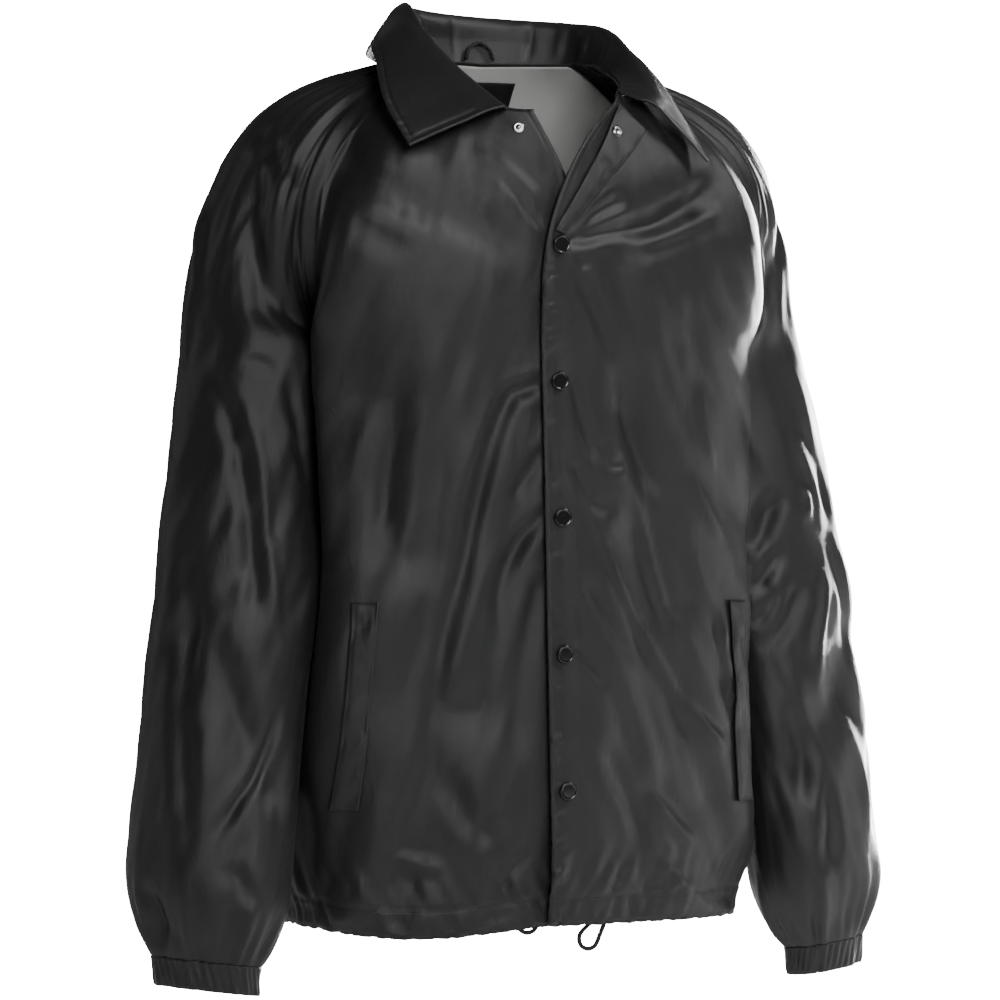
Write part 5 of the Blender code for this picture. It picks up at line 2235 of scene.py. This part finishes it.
@dataclass(frozen=True)
class Studio:
    """A pale floor, a pale surround, soft boxes and the camera."""

    floor_z: float = -0.860
    floor_size: float = 60.0
    pale: float = 30.0
    surround: float = 0.045
    camera: Point = (-2.1210, -4.5279, -0.3830)
    target: Point = (-0.0079, 0.0037, -0.3830)
    sensor: float = 36.0
    lens: float = 206.9
    lights: tuple[SoftLight, ...] = (
        SoftLight("key_box", (-0.35, -3.05, 1.00), (0.0, 0.0, -0.10), 1.3, 1.2, 42.0),
        SoftLight("top_box", (2.1, -1.5, 2.1), (0.0, 0.0, -0.10), 0.9, 0.9, 46.0),
        SoftLight("rim_box", (2.70, 2.05, -0.15), (0.2, 0.0, -0.4), 0.8, 1.4, 340.0),
        SoftLight("edge_box", (2.80, -0.12, -0.68), (0.2, -0.08, -0.68), 0.30, 0.32, 5.5),
        SoftLight("back_box", (-2.4, 2.2, 0.6), (-0.2, 0.0, -0.3), 0.7, 1.8, 5.0),
    )

    def build(self) -> None:
        """Sets up the studio."""
        self._floor()
        self._world()
        for light in self.lights:
            light.add()
        data = bpy.data.cameras.new("photo_camera")
        data.sensor_width, data.lens = self.sensor, self.lens
        data.clip_end = 200.0
        bpy.context.scene.camera = set_towards(linked("photo_camera", data), self.camera, self.target)

    def _floor(self) -> None:
        """Adds the pale floor, which the camera sees evenly lit."""
        half = self.floor_size / 2
        corners = [(x, y, self.floor_z) for x, y in ((-half, -half), (half, -half), (half, half), (-half, half))]
        material, bench, shader = new_material("pale_floor")
        shader.inputs["Base Color"].default_value = (0.80, 0.80, 0.80, 1.0)
        shader.inputs["Roughness"].default_value = 0.9
        glow = bench.add("Emission")
        glow.inputs["Strength"].default_value = self.pale
        bench.split_view(shader.outputs[0], glow.outputs[0], "Material Output")
        mesh_object("studio_floor", corners, [(0, 1, 2, 3)], material)

    def _world(self) -> None:
        """Gives the surround a dim grey light and a pale look."""
        world = bpy.data.worlds.new("studio_surround")
        bpy.context.scene.world = world
        world.use_nodes = True
        bench = NodeBench(world.node_tree)
        shown, lit = bench.add("Background"), world.node_tree.nodes["Background"]
        for node, strength in ((shown, self.pale), (lit, self.surround)):
            node.inputs["Color"].default_value = (1.0, 1.0, 1.0, 1.0)
            node.inputs["Strength"].default_value = strength
        bench.split_view(lit.outputs[0], shown.outputs[0], "World Output")


# The jacket as photographed

RIGHT_CUT = FrontCut(
    neck=((0.034, -0.1145, -0.0535), (0.053, -0.106, -0.0515), (0.070, -0.074, -0.027), (0.086, -0.020, -0.008)),
    edge=((0.034, -0.1145, -0.0535), (0.008, -0.121, -0.105), (-0.006, -0.124, -0.165)),
    chest_x=-0.008,
    hem_x=-0.010,
    sag=0.010,
    folds=(
        Fold((0.175, -0.110), (0.060, -0.165), 0.022, -0.006),
        Fold((0.160, -0.300), (0.150, -0.430), 0.022, -0.007),
        Fold((0.010, -0.290), (0.085, -0.560), 0.022, -0.007),
        Fold((0.105, -0.560), (0.150, -0.700), 0.024, -0.007),
    ),
)
LEFT_CUT = FrontCut(
    neck=((0.053, -0.102, -0.039), (0.072, -0.074, -0.027), (0.086, -0.020, -0.008)),
    edge=((0.053, -0.102, -0.039), (0.018, -0.117, -0.072), (-0.012, -0.123, -0.125), (-0.024, -0.124, -0.165)),
    chest_x=-0.0265,
    hem_x=-0.0200,
    sag=0.0,
    folds=(
        Fold((0.020, -0.170), (0.130, -0.125), 0.022, -0.006),
        Fold((0.040, -0.290), (0.110, -0.470), 0.022, -0.006),
        Fold((0.050, -0.420), (0.140, -0.640), 0.024, -0.007),
        Fold((0.090, -0.640), (0.150, -0.715), 0.022, -0.006),
    ),
)
RIGHT_FRONT_CREASES = (
    Crease(((195, -96), (175, -111), (150, -129), (112, -144)), 16, -2.6),
    Crease(((195, -141), (171, -162), (140, -175)), 13, -2.2),
    Crease(((142, -267), (160, -278), (171, -294), (176, -313), (180, -360), (184, -400)), 9, -5),
    Crease(((130, -241), (124, -315), (123, -398), (127, -467)), 16, -3),
    Crease(((30, -285), (53, -293), (65, -315), (79, -359), (97, -438), (112, -500), (123, -563), (131, -619),
            (151, -666), (171, -688)), 8, -5.5, 1.6, True),
    Crease(((27, -343), (40, -363), (54, -383)), 6, -3, 1.6, True),
    Crease(((28, -397), (53, -429), (66, -457), (72, -493)), 7, -4.5, 1.7, True),
    Crease(((28, -457), (40, -501), (49, -563), (55, -620)), 10, -4, 1.6, True),
    Crease(((88, -68), (55, -93), (18, -122)), 9, -2.6),
    Crease(((72, -98), (48, -129), (35, -145), (20, -160)), 7, -2.2),
    Crease(((160, -684), (111, -697)), 8, 3),
    Crease(((147, -308), (158, -358), (164, -417)), 9, -3),
    Crease(((64, -717), (52, -696), (38, -680)), 5, -2.5),
    Crease(((195, -215), (188, -248), (187, -299)), 9, -3),
    Crease(((115, -603), (91, -653), (47, -680)), 12, -3.5),
)
LEFT_FRONT_CREASES = (
    Crease(((-3, -163), (30, -155), (88, -143), (137, -115), (165, -95)), 7, -4.5, 1.8, True),
    Crease(((48, -169), (106, -152), (158, -129)), 8, 2.5),
    Crease(((-3, -160), (21, -141), (58, -121)), 5, -3, 1.8, True),
    Crease(((4, -175), (13, -187)), 4, -1.8),
    Crease(((2, -193), (17, -214), (29, -239), (39, -267)), 7, -3),
    Crease(((95, -182), (109, -238), (122, -284)), 12, 2.5),
    Crease(((46, -292), (63, -328), (78, -361), (93, -387)), 10, -5),
    Crease(((56, -344), (68, -387), (83, -437), (96, -481), (118, -537)), 6, 3),
    Crease(((2, -357), (24, -387), (46, -393)), 7, -3, 1.4, True),
    Crease(((23, -328), (42, -353), (56, -347)), 6, -2.8),
    Crease(((17, -398), (41, -443), (65, -487), (95, -529), (127, -580)), 6, 3.8),
    Crease(((7, -443), (33, -483), (61, -525)), 9, -4),
    Crease(((3, -509), (19, -526), (34, -543)), 4, -3, 1.5, True),
    Crease(((157, -469), (160, -507), (169, -544), (176, -581)), 6, 4.5),
    Crease(((129, -279), (141, -328), (155, -360)), 6, 2.5),
    Crease(((115, -353), (138, -387), (163, -424)), 6, 2.5),
    Crease(((73, -632), (106, -662), (136, -688)), 9, 5),
    Crease(((84, -689), (118, -719), (127, -727)), 5, 3.5),
    Crease(((111, -547), (134, -576), (169, -603)), 8, 5),
    Crease(((24, -583), (53, -638), (78, -683)), 11, -4),
    Crease(((1, -285), (12, -322), (24, -357)), 6, -3, 1.4, True),
)
HIDDEN_SLEEVE_CREASES = (
    Crease(((200, -400), (250, -460)), 12, -4.5),
    Crease(((335, -420), (285, -500)), 10, -4.5),
    Crease(((230, -550), (305, -620)), 11, -4.5),
    Crease(((205, -660), (245, -725)), 10, -3.5),
    Crease(((305, -300), (262, -400)), 12, -4),
    Crease(((215, -120), (235, -230), (225, -330)), 13, -4),
)
RIGHT_SLEEVE_CREASES = HIDDEN_SLEEVE_CREASES + (
    Crease(((162, -67), (86, -94), (25, -134)), 11, -3.6),
    Crease(((165, -73), (105, -97), (68, -123)), 10, 2),
    Crease(((200, -65), (190, -117), (168, -191), (174, -230), (178, -270), (165, -336)), 7, 4),
    Crease(((159, -254), (127, -302), (102, -358), (90, -398), (66, -490), (51, -522)), 9, -5),
    Crease(((87, -270), (63, -325), (37, -382)), 8, -4.5),
    Crease(((122, -270), (112, -266), (94, -279)), 6, -2.5),
    Crease(((126, -270), (90, -350), (74, -411), (46, -517)), 6, 3),
    Crease(((39, -549), (50, -605), (69, -638), (87, -671)), 6, -4.5),
    Crease(((102, -484), (77, -550), (60, -604)), 13, -3.5),
    Crease(((139, -383), (119, -492), (112, -570), (105, -622), (100, -678), (96, -718)), 11, -4.5),
    Crease(((150, -701), (129, -733), (120, -760)), 8, -3),
    Crease(((74, -685), (45, -728)), 10, -3),
)
LEFT_SLEEVE_CREASES = HIDDEN_SLEEVE_CREASES + (
    Crease(((30, -147), (77, -181), (99, -233)), 9, -4.5),
    Crease(((74, -372), (54, -399), (34, -435)), 11, -6),
    Crease(((62, -421), (42, -448), (27, -470)), 9, -4.5),
    Crease(((50, -456), (33, -483), (20, -497)), 8, -3.5),
    Crease(((78, -446), (48, -491), (24, -519)), 10, -3.5),
    Crease(((99, -436), (88, -476), (74, -511), (70, -551)), 8, 4.5),
    Crease(((98, -371), (90, -402)), 8, 3),
    Crease(((39, -557), (41, -610), (33, -663)), 12, -4),
    Crease(((58, -613), (60, -665), (48, -715)), 10, -3.5),
    Crease(((130, -330), (120, -420), (128, -520)), 13, -4),
    Crease(((150, -560), (120, -640), (110, -710)), 11, -4),
)
BACK_CREASES = (
    Crease(((-170, -200), (-120, -300), (-90, -420)), 14, -4),
    Crease(((165, -190), (130, -280), (70, -360)), 13, -4),
    Crease(((-50, -320), (-60, -450), (-40, -600)), 16, -4),
    Crease(((60, -350), (90, -500), (80, -640)), 15, -4.5),
    Crease(((-150, -450), (-120, -580), (-140, -690)), 13, -4),
    Crease(((160, -500), (130, -600), (150, -700)), 12, -4),
    Crease(((-120, -100), (-40, -130), (50, -120)), 12, -2.5),
    Crease(((20, -200), (0, -280)), 12, 2),
    Crease(((0, -620), (30, -690)), 10, -3),
)


def main() -> None:
    """Builds the jacket and its studio."""
    logging.basicConfig(level=logging.INFO, format="%(message)s")
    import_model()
    form = JacketForm()
    finishes = Finishes()
    Studio().build()
    fastening = FrontFastening(form)
    for side in Side:
        fastening.drawcord(side, finishes)
    left_sleeve = Sleeve(Side.LEFT, form, LEFT_SLEEVE_CREASES, seed=11).build(finishes)
    right_sleeve = Sleeve(Side.RIGHT, form, RIGHT_SLEEVE_CREASES, seed=23).build(finishes)
    left = FrontPanel(Side.LEFT, form, LEFT_CUT, LEFT_FRONT_CREASES, 31, -0.014, 0.020, 0.38, lap_rise=0.0055)
    right = FrontPanel(Side.RIGHT, form, RIGHT_CUT, RIGHT_FRONT_CREASES, 43, 0.012, 0.030, 0.22)
    left_shell = left.build(left_sleeve, finishes)
    right_shell = right.build(right_sleeve, finishes)
    BackPanel(form, BACK_CREASES, seed=57).build(left_sleeve, right_sleeve, finishes)
    Collar(form, seed=61).build(finishes)
    fastening.build(left_shell, right_shell, LEFT_CUT, finishes)


if __name__ == "__main__":
    main()
